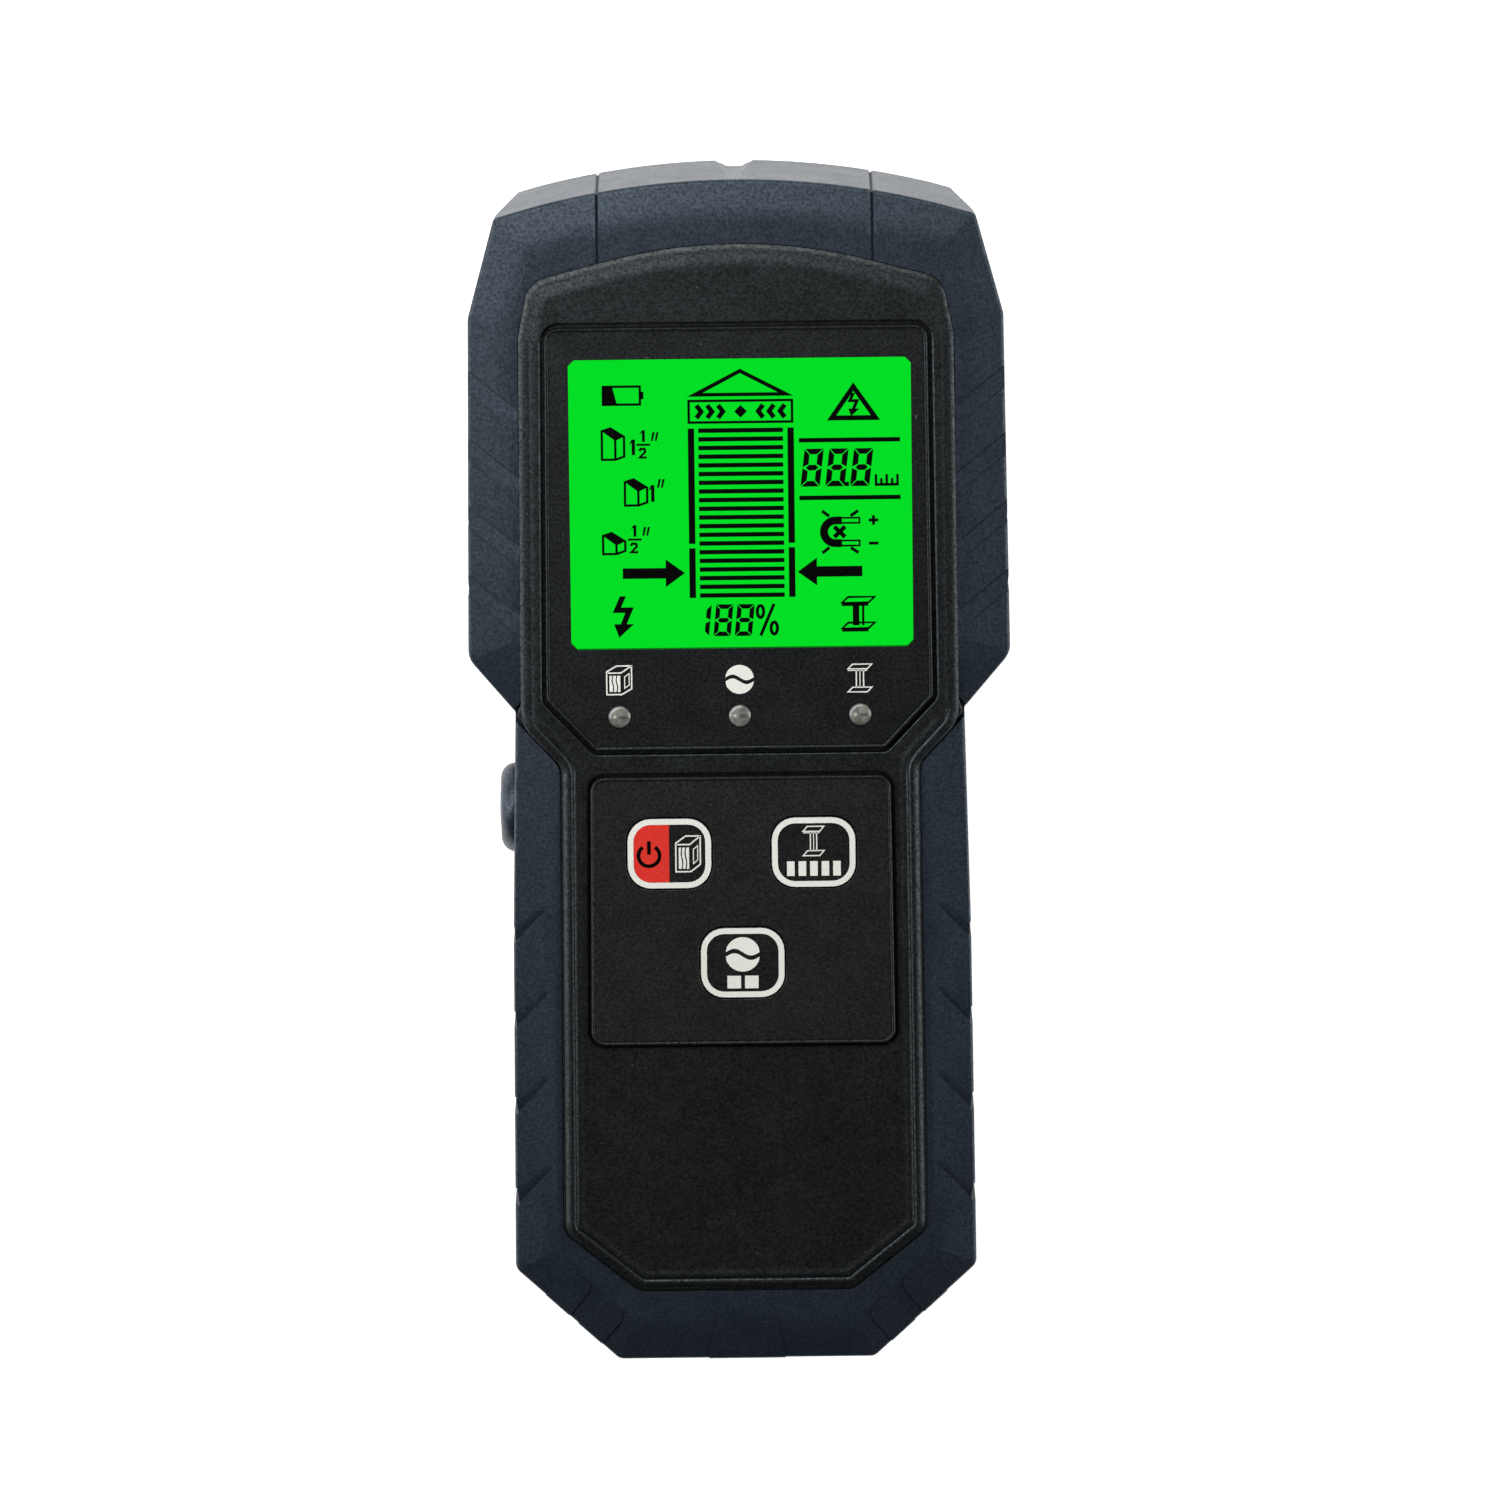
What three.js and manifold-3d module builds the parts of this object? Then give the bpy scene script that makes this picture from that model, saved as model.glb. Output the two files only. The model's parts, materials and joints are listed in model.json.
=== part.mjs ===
// Hand-held stud finder: a black housing in navy rubber armour, with an LCD, three indicator lights,
// three front keys, a side button, a sensor board with a search coil, and a 9 V battery.
// The battery's door slides off towards the handle's end.
// Millimetres. +Z is out of the front face, +Y is towards the sensing end, and the origin is the middle of
// the underside. The tool lies on the glide pads of its back.
import * as THREE from "three";
import { mergeVertices } from "three/addons/utils/BufferGeometryUtils.js";
import Module from "manifold-3d";

const wasm = await Module();
wasm.setup();

// ---------------------------------------------------------------- driving dimensions
const LENGTH = 149;
const HEAD_HALF = 33.8;
const HANDLE_HALF = 28.6;
const Z_PAD = 0; // underside of the glide pads
const Z_BACK = 0.7; // outer face of the back cover
const Z_FLOOR = 2.7; // inner face of the back cover
const Z_SPLIT = 4.2; // where the rubber armour begins
const Z_ARMOUR = 25.8; // front of the armour
const Z_SEAT = 24.45; // ledge of the housing that carries the armour
const Z_STRIP = 25.9; // strip of housing beside the armour
const Z_FACE = 26.6; // front face of the housing
const Z_BEAD = 27.0; // bead around the handle's face
const Z_DISPLAY = 26.8; // front of the display overlay
const Z_PANEL = 27.3; // front of the key panel and of the keys
const Z_DOME = 27.9; // tips of the indicator lights
const Z_BOARD = 20.4; // underside of the main board
const BOARD_THICK = 1.2;
const Z_BOARD_TOP = Z_BOARD + BOARD_THICK;
const ARMOUR_THICK = 1.6;
const WALL = 1.75;
const SLIP = 0.05; // gap between pieces that touch
const KEY_GAP = 0.13; // gap around a key
const KEY_SIZE = [10.6, 8.95];
const KEY_PLACES = { power: [-9, -10.3], metal: [9, -10.3], ac: [0, -24.2] };
const LED_PLACES = { stud: [-15, 6.9], ac: [0, 6.9], metal: [15, 6.9] };
const LED_RADIUS = 1.45;
const LCD_VIEW = [42.6, 36.4]; // part of the LCD that shows
const LCD_CENTRE = [0, 33.6];
const LCD_GLASS = [46, 41.4];
const Z_PARTING = 9.6; // where the front and back housings meet
const Z_GLASS = 23.35; // underside of the LCD glass
const KEY_TRAVEL = 0.4;
const Z_SWITCH_TOP = 24;
const Z_TONGUE = 1.55; // underside of the door's side tongues
const Z_DOOR_TOP = 2.3;
const Z_SENSOR = 4.6; // underside of the sensor board
const Z_SENSOR_TOP = Z_SENSOR + 1.6;
const SENSOR_POSTS = [[-18, 19], [18, 19], [-18, 62], [18, 62]];
const COIL = { x: 0, y: 42, radius: 13, height: 3.2 };
const HANDLE_SIDE = 28.1; // half-width of the handle at the side button
const BUTTON = { y: -6, z: 16, radius: 5.6, proud: 2.1, stem: 2.95, gap: 0.25, foot: 20.4, skirt: 27.35 };
const CASE_SCREWS = [[-24.2, 61.5], [24.2, 61.5], [-20.2, -57], [20.2, -57]];
const SCREW_HEAD = { radius: 2.5, low: 0.9, top: 2.35 };
const BOARD_SCREWS = [[-18.5, 58], [18.5, 58], [-16, -31], [16, -31]];
const BATTERY = { width: 26.2, yLow: -67, yHigh: -21, zLow: 2.7, zHigh: 20.1 };
const DOOR = { half: 14.2, tongue: 15.45, yLow: -74.6, yHigh: -13.6 };
const RIBS = { count: 6, half: 7, yLow: -66, pitch: 2.2 }; // thumb ribs on the door

const TOP = 74.1;
const BOTTOM = TOP - LENGTH;
const ARC_RADIUS = 100; // the sensing end's curve, seen from the front
const ROUND_STEPS = 3; // facets on each rounded corner of an outline
const TURN_STEPS = 16; // facets around a small cylinder

// ---------------------------------------------------------------- outlines
// An outline is a list of corners [x, y, radius], clockwise. Each is drawn as its right half, top to bottom.
function mirrored(rightHalf) {
  const left = rightHalf.filter(([x]) => x > 0).reverse();
  return [...rightHalf, ...left.map(([x, y, r]) => [-x, y, r])];
}

// Corners along the sensing end's arc, from the middle to x = half.
function arcCorners(yTop, half, radius, count) {
  const corners = [];
  for (let i = 0; i <= count; i++) {
    const x = (half * i) / count;
    corners.push([x, yTop - radius + Math.sqrt(radius * radius - x * x), 0]);
  }
  return corners;
}

// Moves every side of an outline inwards by d, or outwards if d is negative.
function inset(corners, d) {
  const n = corners.length;
  const side = (i) => {
    const [ax, ay] = corners[i];
    const [bx, by] = corners[(i + 1) % n];
    const long = Math.hypot(bx - ax, by - ay);
    return { ax, ay, ux: (bx - ax) / long, uy: (by - ay) / long };
  };
  return corners.map(([x, y, r], i) => {
    const a = side((i + n - 1) % n);
    const b = side(i);
    const turn = a.ux * b.uy - a.uy * b.ux; // negative at an outer corner of a clockwise outline
    const half = 1 + a.ux * b.ux + a.uy * b.uy;
    const nx = (a.uy + b.uy) / half;
    const ny = (-a.ux - b.ux) / half;
    const radius = r === 0 ? 0 : Math.max(r + (turn < 0 ? -d : d), 0.1);
    return [x + nx * d, y + ny * d, radius];
  });
}

// The points of an outline, with its corners rounded.
function outlinePoints(corners) {
  const n = corners.length;
  const points = [];
  corners.forEach(([x, y, r], i) => {
    const corner = new THREE.Vector2(x, y);
    if (r === 0) {
      points.push(corner);
      return;
    }
    const [px, py] = corners[(i + n - 1) % n];
    const [qx, qy] = corners[(i + 1) % n];
    const back = new THREE.Vector2(px - x, py - y);
    const ahead = new THREE.Vector2(qx - x, qy - y);
    const between = Math.abs(back.angleTo(ahead));
    const reach = Math.min(r / Math.tan(between / 2), back.length() * 0.49, ahead.length() * 0.49);
    const start = corner.clone().addScaledVector(back.normalize(), reach);
    const end = corner.clone().addScaledVector(ahead.normalize(), reach);
    const curve = new THREE.QuadraticBezierCurve(start, corner, end);
    points.push(...curve.getPoints(ROUND_STEPS));
  });
  return points;
}

function rectangle(halfX, halfY, radius, x = 0, y = 0) {
  return [
    [x + halfX, y + halfY, radius],
    [x + halfX, y - halfY, radius],
    [x - halfX, y - halfY, radius],
    [x - halfX, y + halfY, radius],
  ];
}

const bodyOutline = mirrored([
  ...arcCorners(TOP, 29.9, ARC_RADIUS, 5),
  [33.3, 57.0, 3],
  [HEAD_HALF, 14.2, 2.5],
  [28.0, 7.4, 0],
  [HANDLE_HALF, -63, 1],
  [15.6, BOTTOM, 1],
]);

// The housing inside the armour: it reaches the outline only at the neck.
const seamOutline = mirrored([
  ...arcCorners(66.7, 25.5, 84, 4),
  [27.2, 56.1, 2],
  [27.3, 8.9, 1],
  [28.6, 7.3, 0],
  [28.6, 6.7, 0],
  [22.35, 0.1, 2],
  [22.8, -58.6, 2],
  [13.4, -66.1, 2],
]);

const faceOutline = mirrored([
  ...arcCorners(66.6, 25.4, 84, 4),
  [27.1, 56.1, 2],
  [27.2, 9.4, 2],
  [20.9, 1.9, 3],
  [21.2, -57.8, 2],
  [12.8, -64.5, 2],
]);

const displayOutline = mirrored([
  [23.8, 55.8, 1.4],
  [24.1, 9.0, 0.8],
  [18.1, 2.6, 0.8],
]);

const panelOutline = mirrored([
  [18.7, -0.7, 1.6],
  [19.0, -34.6, 1.6],
]);

const boardOutline = mirrored([
  [21, 60.6, 1],
  [21, 55.2, 0],
  [25, 55.2, 1],
  [25, 9, 1],
  [20, 3.5, 0],
  [20, -34.5, 1],
]);

// ---------------------------------------------------------------- geometry helpers
function plate(corners, zLow, zHigh) {
  const shape = new THREE.Shape(outlinePoints(corners));
  const geometry = new THREE.ExtrudeGeometry(shape, { depth: zHigh - zLow, bevelEnabled: false });
  return geometry.translate(0, 0, zLow);
}

function box(x0, x1, y0, y1, z0, z1) {
  const geometry = new THREE.BoxGeometry(x1 - x0, y1 - y0, z1 - z0);
  return geometry.translate((x0 + x1) / 2, (y0 + y1) / 2, (z0 + z1) / 2);
}

// A cylinder along +Z from (x, y, z0) to z1.
function rod(radius, x, y, z0, z1, steps = TURN_STEPS) {
  const geometry = new THREE.CylinderGeometry(radius, radius, z1 - z0, steps);
  return geometry.rotateX(Math.PI / 2).translate(x, y, (z0 + z1) / 2);
}

// A solid turned about +Z from a profile of [radius, z] that starts and ends on the axis, going up.
function turned(profile, steps = TURN_STEPS) {
  const points = profile.map(([r, z]) => new THREE.Vector2(r, z));
  return new THREE.LatheGeometry(points, steps).rotateX(Math.PI / 2);
}

function solid(geometry) {
  const bare = new THREE.BufferGeometry();
  const source = geometry.index ? geometry.toNonIndexed() : geometry;
  bare.setAttribute("position", source.getAttribute("position"));
  const merged = mergeVertices(bare, 1e-4);
  return new wasm.Manifold(
    new wasm.Mesh({
      numProp: 3,
      vertProperties: merged.attributes.position.array,
      triVerts: new Uint32Array(merged.index.array),
    }),
  );
}

function join(first, ...others) {
  return others.reduce((whole, next) => whole.add(solid(next)), solid(first));
}

function cut(whole, ...tools) {
  return tools.reduce((left, tool) => left.subtract(solid(tool)), whole);
}

function geometryOf(manifold) {
  const mesh = manifold.getMesh();
  const geometry = new THREE.BufferGeometry();
  geometry.setAttribute("position", new THREE.BufferAttribute(new Float32Array(mesh.vertProperties), 3));
  geometry.setIndex(new THREE.BufferAttribute(new Uint32Array(mesh.triVerts), 1));
  return geometry;
}

// ---------------------------------------------------------------- materials
function finish(color, roughness, metalness = 0, extra = {}) {
  return new THREE.MeshStandardMaterial({ color, roughness, metalness, ...extra });
}

const MATERIALS = {
  housing: finish(0x202223, 0.55),
  armour: finish(0x262f3a, 0.75),
  overlay: finish(0x232425, 0.5),
  lcd: finish(0x05e026, 0.3, 0, { emissive: 0x05e026, emissiveIntensity: 0.8 }),
  white: finish(0xe8e8e2, 0.6),
  led: finish(0xa7a69c, 0.25, 0, { transparent: true, opacity: 0.8 }),
  key: finish(0x212122, 0.5),
  board: finish(0x1d5a32, 0.5),
  chip: finish(0x17181a, 0.45),
  steel: finish(0xb9bbbd, 0.35, 1),
  copper: finish(0xb4703c, 0.35, 1),
  rubber: finish(0x2b2c2e, 0.85),
  cell: finish(0x2f3336, 0.4),
  red: finish(0xb3211c, 0.5),
  felt: finish(0x2b2b2c, 0.95),
};

const tool = new THREE.Group();

function part(name, shape, material) {
  const geometry = shape.isBufferGeometry ? shape : geometryOf(shape);
  const mesh = new THREE.Mesh(geometry, MATERIALS[material]);
  mesh.name = name;
  tool.add(mesh);
}

// ---------------------------------------------------------------- the tool's outer form
// The half-space beyond a plane through three points, on the side that points away from the middle.
function beyondPlane(a, b, c, depth) {
  const normal = new THREE.Vector3().subVectors(b, a).cross(new THREE.Vector3().subVectors(c, a));
  normal.normalize();
  if (normal.x * a.x < 0) normal.negate();
  const block = new THREE.BoxGeometry(80, 80, 80).translate(0, 0, 40);
  block.applyQuaternion(new THREE.Quaternion().setFromUnitVectors(new THREE.Vector3(0, 0, 1), normal));
  const start = a.clone().addScaledVector(normal, -depth);
  return block.translate(start.x, start.y, start.z);
}

// The body's outline, inset by d. The sensing end's corners are cut back further towards the back cover.
function bodySolid(d, zLow, zHigh) {
  const corners = [1, -1].map((side) => {
    const frontTop = new THREE.Vector3(side * 30.3, TOP - 4.8, Z_ARMOUR);
    const frontLow = new THREE.Vector3(side * 33.3, 57.4, Z_ARMOUR);
    const backTop = new THREE.Vector3(side * 26.4, TOP - 3.5, Z_BACK);
    return beyondPlane(frontTop, frontLow, backTop, d);
  });
  return cut(solid(plate(inset(bodyOutline, d), zLow, zHigh)), ...corners);
}

// ---------------------------------------------------------------- housings
const SCREW_BORE = 1.45;
const POST_RADIUS = 2.6;
const BOSS_RADIUS = 2.3; // board screw bosses
const BOSS_BORE = 1.05;
const Z_ROOF = 24.55; // inner face of the housing's raised middle
const Z_DISPLAY_SEAT = 25.4;
const Z_PANEL_SEAT = 25.7;
const Z_BELOW = 20; // cutters for openings in the front start here, inside the tool
const Z_CLEAR = 30; // and end here, above it
const ROOF_THICK = 1.6;
const BEAD_END = 3.3; // the bead around the handle's face stops at this y
const STEM_RADIUS = 1.6;
const STEM_GAP = 0.2;
const LIGHT_GAP = 0.1;
const BAY = { half: 13.4, yLow: -67.2, yHigh: -14.4, wall: 1.25, zTop: 18.5 };
const BAY_MIDDLE = (BAY.yLow + BAY.yHigh) / 2;
const BAY_REACH = (BAY.yHigh - BAY.yLow) / 2;
const RAIL = { half: 17, margin: 2.6, height: 1.2 }; // the door slides under it
const LEAD_SLOT = { half: 5, zLow: 8.5, zHigh: 13.5 };

function frontHousing() {
  const cover = solid(plate(inset(seamOutline, SLIP), Z_SEAT - 0.05, Z_STRIP));
  let shell = bodySolid(ARMOUR_THICK + SLIP, Z_PARTING + SLIP, Z_SEAT).add(cover);
  shell = shell.add(solid(plate(faceOutline, Z_STRIP - 0.1, Z_FACE)));
  const beadRing = cut(solid(plate(inset(faceOutline, 0.1), Z_FACE - 0.1, Z_BEAD)),
    plate(inset(faceOutline, 1), Z_FACE - 0.2, Z_CLEAR), box(-40, 40, BEAD_END, 80, Z_BELOW, Z_CLEAR));
  shell = shell.add(beadRing);
  shell = shell.subtract(bodySolid(ARMOUR_THICK + WALL, 0, Z_SEAT - ROOF_THICK));
  shell = cut(shell, plate(inset(faceOutline, ROOF_THICK), Z_SEAT - 2, Z_ROOF));
  const bosses = CASE_SCREWS.map(([x, y]) => rod(POST_RADIUS, x, y, Z_PARTING + SLIP, Z_ROOF - 0.5));
  bosses.push(...BOARD_SCREWS.map(([x, y]) => rod(BOSS_RADIUS, x, y, Z_BOARD_TOP + SLIP, Z_ROOF + 0.2)));
  shell = bosses.reduce((whole, boss) => whole.add(solid(boss)), shell);
  shell = cut(shell, ...CASE_SCREWS.map(([x, y]) => rod(SCREW_BORE, x, y, 5, 17)));
  shell = cut(shell, ...BOARD_SCREWS.map(([x, y]) => rod(BOSS_BORE, x, y, 18, 24.4)));
  shell = cut(shell, plate(inset(displayOutline, -0.12), Z_DISPLAY_SEAT, Z_CLEAR));
  const view = rectangle(LCD_VIEW[0] / 2 + 0.4, LCD_VIEW[1] / 2 + 0.4, 0, ...LCD_CENTRE);
  shell = cut(shell, plate(view, Z_BELOW, Z_CLEAR));
  const lights = Object.values(LED_PLACES);
  shell = cut(shell, ...lights.map(([x, y]) => rod(LED_RADIUS + LIGHT_GAP, x, y, Z_BELOW, Z_CLEAR)));
  shell = cut(shell, plate(inset(panelOutline, -0.12), Z_PANEL_SEAT, Z_CLEAR));
  const keys = Object.values(KEY_PLACES);
  shell = cut(shell, ...keys.map(([x, y]) => rod(STEM_RADIUS + STEM_GAP, x, y, Z_BELOW, Z_CLEAR)));
  const hole = rod(BUTTON.stem + BUTTON.gap, 0, 0, -10, 10).rotateY(Math.PI / 2);
  return cut(shell, hole.translate(-HANDLE_SIDE, BUTTON.y, BUTTON.z));
}

function backHousing() {
  const foot = bodySolid(0.5, Z_BACK + 1, Z_SPLIT - SLIP);
  const sole = bodySolid(1.5, Z_BACK, Z_BACK + 1.1);
  let shell = bodySolid(ARMOUR_THICK + SLIP, Z_BACK + 1, Z_PARTING).add(foot).add(sole);
  shell = shell.subtract(bodySolid(ARMOUR_THICK + WALL, Z_FLOOR, 20));
  const bayWall = rectangle(BAY.half + BAY.wall, BAY_REACH + BAY.wall, 0, 0, BAY_MIDDLE);
  shell = shell.add(solid(plate(bayWall, Z_DOOR_TOP + 0.1, BAY.zTop)));
  const rail = rectangle(RAIL.half, BAY_REACH + RAIL.margin, 0, 0, BAY_MIDDLE);
  shell = shell.add(solid(plate(rail, Z_DOOR_TOP + 0.1, Z_FLOOR + RAIL.height)));
  const posts = CASE_SCREWS.map(([x, y]) => rod(POST_RADIUS, x, y, Z_FLOOR - 0.2, Z_PARTING));
  posts.push(...SENSOR_POSTS.map(([x, y]) => rod(2, x, y, Z_FLOOR - 0.2, Z_SENSOR - SLIP)));
  shell = posts.reduce((whole, post) => whole.add(solid(post)), shell);
  shell = cut(shell, ...CASE_SCREWS.map(([x, y]) => rod(SCREW_BORE, x, y, 0, 12)));
  const { radius, top } = SCREW_HEAD;
  shell = cut(shell, ...CASE_SCREWS.map(([x, y]) => rod(radius + 0.2, x, y, 0, top + SLIP)));
  shell = cut(shell, box(-BAY.half, BAY.half, BAY.yLow, BAY.yHigh, 0, Z_CLEAR));
  const { half, zLow, zHigh } = LEAD_SLOT;
  shell = cut(shell, box(-half, half, BAY.yHigh - 1, BAY.yHigh + 2, zLow, zHigh));
  shell = cut(shell, box(-DOOR.half, DOOR.half, -90, DOOR.yHigh, 0, Z_TONGUE));
  return cut(shell, box(-DOOR.tongue, DOOR.tongue, -90, DOOR.yHigh, Z_TONGUE - 0.01, Z_DOOR_TOP + 0.1));
}

// ---------------------------------------------------------------- rubber armour
const NECK_Y = 6.95; // where the head's armour and the handle's armour meet
const HEAD_SLOTS = [47.8, 39.3, 30.7, 22.0]; // y of each slot at the outer edge
const GRIP_SLOTS = [-19.0, -29.8, -40.7, -52.3]; // y of each slot at its middle
const SLOT_DEPTH = 0.45;
const END_GROOVE = { x: 17.1, half: 0.4 }; // grooves over the sensing end

function armour() {
  const outer = bodySolid(0, Z_SPLIT, Z_ARMOUR - 0.9).add(bodySolid(0.9, Z_ARMOUR - 1, Z_ARMOUR));
  const skin = outer.subtract(bodySolid(ARMOUR_THICK, 0, Z_SEAT + 0.05));
  return cut(skin, plate(seamOutline, Z_SEAT - 0.1, Z_CLEAR));
}

// A slanted slot across the armour's front edge, from its middle, length, slope and width.
function slot(x, y, length, slope, width) {
  const block = new THREE.BoxGeometry(length, width, 2);
  return block.rotateZ(slope).translate(x, y, Z_ARMOUR - SLOT_DEPTH + 1);
}

function headArmour() {
  const tools = [];
  for (const side of [1, -1]) {
    for (const y of HEAD_SLOTS) tools.push(slot(side * 30.7, y - 1.2, 8, side * 0.69, 2));
    const left = side * END_GROOVE.x - END_GROOVE.half;
    const right = side * END_GROOVE.x + END_GROOVE.half;
    tools.push(box(left, right, 60, 90, Z_ARMOUR - 0.5, Z_CLEAR));
    tools.push(box(left, right, TOP - 2, 90, 0, Z_CLEAR));
  }
  const notch = [[-1, TOP - 0.8, 0], [-2.6, TOP + 0.1, 0], [-2.6, TOP + 5, 0], [2.6, TOP + 5, 0],
    [2.6, TOP + 0.1, 0], [1, TOP - 0.8, 0]];
  tools.push(plate(notch, 0, Z_CLEAR), box(-50, 50, -90, NECK_Y + 0.12, 0, Z_CLEAR));
  return cut(armour(), ...tools);
}

function handleArmour() {
  const tools = [];
  for (const side of [1, -1]) {
    for (const y of GRIP_SLOTS) tools.push(slot(side * 25.7, y, 5.2, -side * 0.82, 1.8));
  }
  tools.push(box(-50, 50, NECK_Y - 0.12, 90, 0, Z_CLEAR));
  tools.push(rod(BUTTON.radius + 0.15, 0, 0, -6, 6).rotateY(Math.PI / 2).translate(-29, BUTTON.y, BUTTON.z));
  const pad = [[3.9, -67.4, 0.8], [4.6, BOTTOM - 0.4, 0.6], [-4.6, BOTTOM - 0.4, 0.6], [-3.9, -67.4, 0.8]];
  const grip = armour().add(solid(plate(pad, Z_SPLIT, Z_ARMOUR + 0.35)).subtract(
    bodySolid(ARMOUR_THICK - 0.2, 0, Z_SEAT + 0.1)));
  return cut(grip, ...tools);
}

// ---------------------------------------------------------------- display, lights and keys
function displayLens() {
  const lights = Object.values(LED_PLACES);
  const holes = lights.map(([x, y]) => rod(LED_RADIUS + LIGHT_GAP, x, y, Z_BELOW, Z_CLEAR));
  return cut(solid(plate(displayOutline, Z_DISPLAY_SEAT + SLIP, Z_DISPLAY)), ...holes);
}

function keyOutline([x, y], extra) {
  return rectangle(KEY_SIZE[0] / 2 + extra, KEY_SIZE[1] / 2 + extra, 2.6 + extra, x, y);
}

function keyPanel() {
  const holes = Object.values(KEY_PLACES).map((place) => plate(keyOutline(place, KEY_GAP), Z_BELOW, Z_CLEAR));
  return cut(solid(plate(panelOutline, Z_PANEL_SEAT + SLIP, Z_PANEL)), ...holes);
}

function key(place) {
  const cap = plate(keyOutline(place, 0), Z_PANEL - 1.1, Z_PANEL);
  return join(cap, rod(STEM_RADIUS, ...place, Z_SWITCH_TOP + KEY_TRAVEL + SLIP, Z_PANEL - 1));
}

function led([x, y]) {
  const shoulder = Z_DOME - LED_RADIUS;
  const profile = [[0, Z_BOARD_TOP + SLIP], [1.9, Z_BOARD_TOP + SLIP], [1.9, Z_BOARD_TOP + 1.1]];
  profile.push([LED_RADIUS, Z_BOARD_TOP + 1.1]);
  for (let i = 0; i <= 4; i++) {
    const turn = (i * Math.PI) / 8;
    profile.push([i === 4 ? 0 : LED_RADIUS * Math.cos(turn), shoulder + LED_RADIUS * Math.sin(turn)]);
  }
  return turned(profile).translate(x, y, 0);
}

function sideButton() {
  const { radius, proud, stem, foot, skirt } = BUTTON;
  const tip = HANDLE_SIDE + proud;
  const profile = [[0, foot], [stem, foot], [stem, skirt], [radius, skirt], [radius, tip - 1.5]];
  profile.push([radius - 0.5, tip - 0.7], [radius - 1.7, tip - 0.2], [radius - 3.2, tip], [0, tip]);
  return turned(profile, 28).rotateY(-Math.PI / 2).translate(0, BUTTON.y, BUTTON.z);
}

function keySwitch([x, y]) {
  const can = box(x - 3, x + 3, y - 3, y + 3, Z_BOARD_TOP + SLIP, Z_SWITCH_TOP - 0.6);
  return join(can, rod(1.7, x, y, Z_SWITCH_TOP - 0.7, Z_SWITCH_TOP, 12));
}

// ---------------------------------------------------------------- back: door, pads and screws
function batteryDoor() {
  const cover = box(-DOOR.half + 0.12, DOOR.half - 0.12, DOOR.yLow, DOOR.yHigh - 0.15, Z_BACK, Z_TONGUE);
  const tongue = box(-DOOR.tongue + 0.12, DOOR.tongue - 0.12, DOOR.yLow, DOOR.yHigh - 0.15,
    Z_TONGUE + 0.05, Z_DOOR_TOP);
  const middle = box(-10, 10, DOOR.yLow + 0.5, DOOR.yHigh - 1, Z_TONGUE - 0.2, Z_TONGUE + 0.3);
  let door = join(cover, tongue, middle);
  for (let i = 0; i < RIBS.count; i++) {
    const y = RIBS.yLow + i * RIBS.pitch;
    door = door.add(solid(box(-RIBS.half, RIBS.half, y - 0.4, y + 0.4, Z_BACK - 0.3, Z_BACK + 0.3)));
  }
  return door;
}

function caseScrew([x, y]) {
  const { radius, low, top } = SCREW_HEAD;
  const profile = [[0, low], [radius, low], [radius, top], [1.4, top], [1.4, 15], [0.6, 16.2], [0, 16.2]];
  const recess = [0, Math.PI / 2].map((turn) => new THREE.BoxGeometry(0.55, 2.8, 2).rotateZ(turn));
  const screw = cut(solid(turned(profile, 16)), ...recess.map((bar) => bar.translate(0, 0, 0.8)));
  return screw.translate([x, y, 0]);
}

function boardScrew([x, y]) {
  const under = Z_BOARD - SLIP;
  const profile = [[0, under - 0.9], [1.8, under - 0.9], [1.8, under], [1, under], [1, 24.2], [0, 24.2]];
  return turned(profile, 14).translate(x, y, 0);
}

// ---------------------------------------------------------------- electronics
function mainBoard() {
  const holes = BOARD_SCREWS.map(([x, y]) => rod(1.15, x, y, 18, 24, 14));
  return cut(solid(plate(boardOutline, Z_BOARD, Z_BOARD_TOP)), ...holes);
}

function lcdFrame() {
  const outer = rectangle(LCD_GLASS[0] / 2 + 1.1, LCD_GLASS[1] / 2 + 1.1, 0.5, ...LCD_CENTRE);
  const inner = rectangle(LCD_GLASS[0] / 2 + 0.1, LCD_GLASS[1] / 2 + 0.1, 0, ...LCD_CENTRE);
  return cut(solid(plate(outer, Z_BOARD_TOP + SLIP, Z_ROOF - SLIP)), plate(inner, Z_BELOW, Z_CLEAR));
}

function ring(outer, inner, x, y, zLow, zHigh) {
  return cut(solid(rod(outer, x, y, zLow, zHigh, 32)), rod(inner, x, y, zLow - 1, zHigh + 1, 32));
}

function coilBobbin() {
  const { x, y, radius } = COIL;
  const z = Z_SENSOR_TOP + SLIP;
  const web = ring(radius + 0.9, radius, x, y, z, z + COIL.height);
  const low = ring(radius + 3.6, radius, x, y, z, z + 0.6);
  return web.add(low).add(ring(radius + 3.6, radius, x, y, z + COIL.height - 0.6, z + COIL.height));
}

function searchCoil() {
  const { x, y, radius, height } = COIL;
  const z = Z_SENSOR_TOP + SLIP;
  return ring(radius + 3.3, radius + 1, x, y, z + 0.7, z + height - 0.7);
}

// A six-way header between the two boards, made of two strips and the pins that join them.
const HEADER = { y: 16.2, half: 7.6, width: 2.4, tall: 2.6, pins: 6, pitch: 2.54 };

function boardHeader() {
  const { y, half, width, tall, pins, pitch } = HEADER;
  const pieces = [
    box(-half, half, y - width / 2, y + width / 2, Z_SENSOR_TOP + SLIP, Z_SENSOR_TOP + tall),
    box(-half, half, y - width / 2, y + width / 2, Z_BOARD - tall, Z_BOARD - SLIP),
  ];
  for (let i = 0; i < pins; i++) {
    const x = (i - (pins - 1) / 2) * pitch;
    pieces.push(box(x - 0.32, x + 0.32, y - 0.3, y + 0.3, 7, 19));
  }
  return join(...pieces);
}

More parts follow.
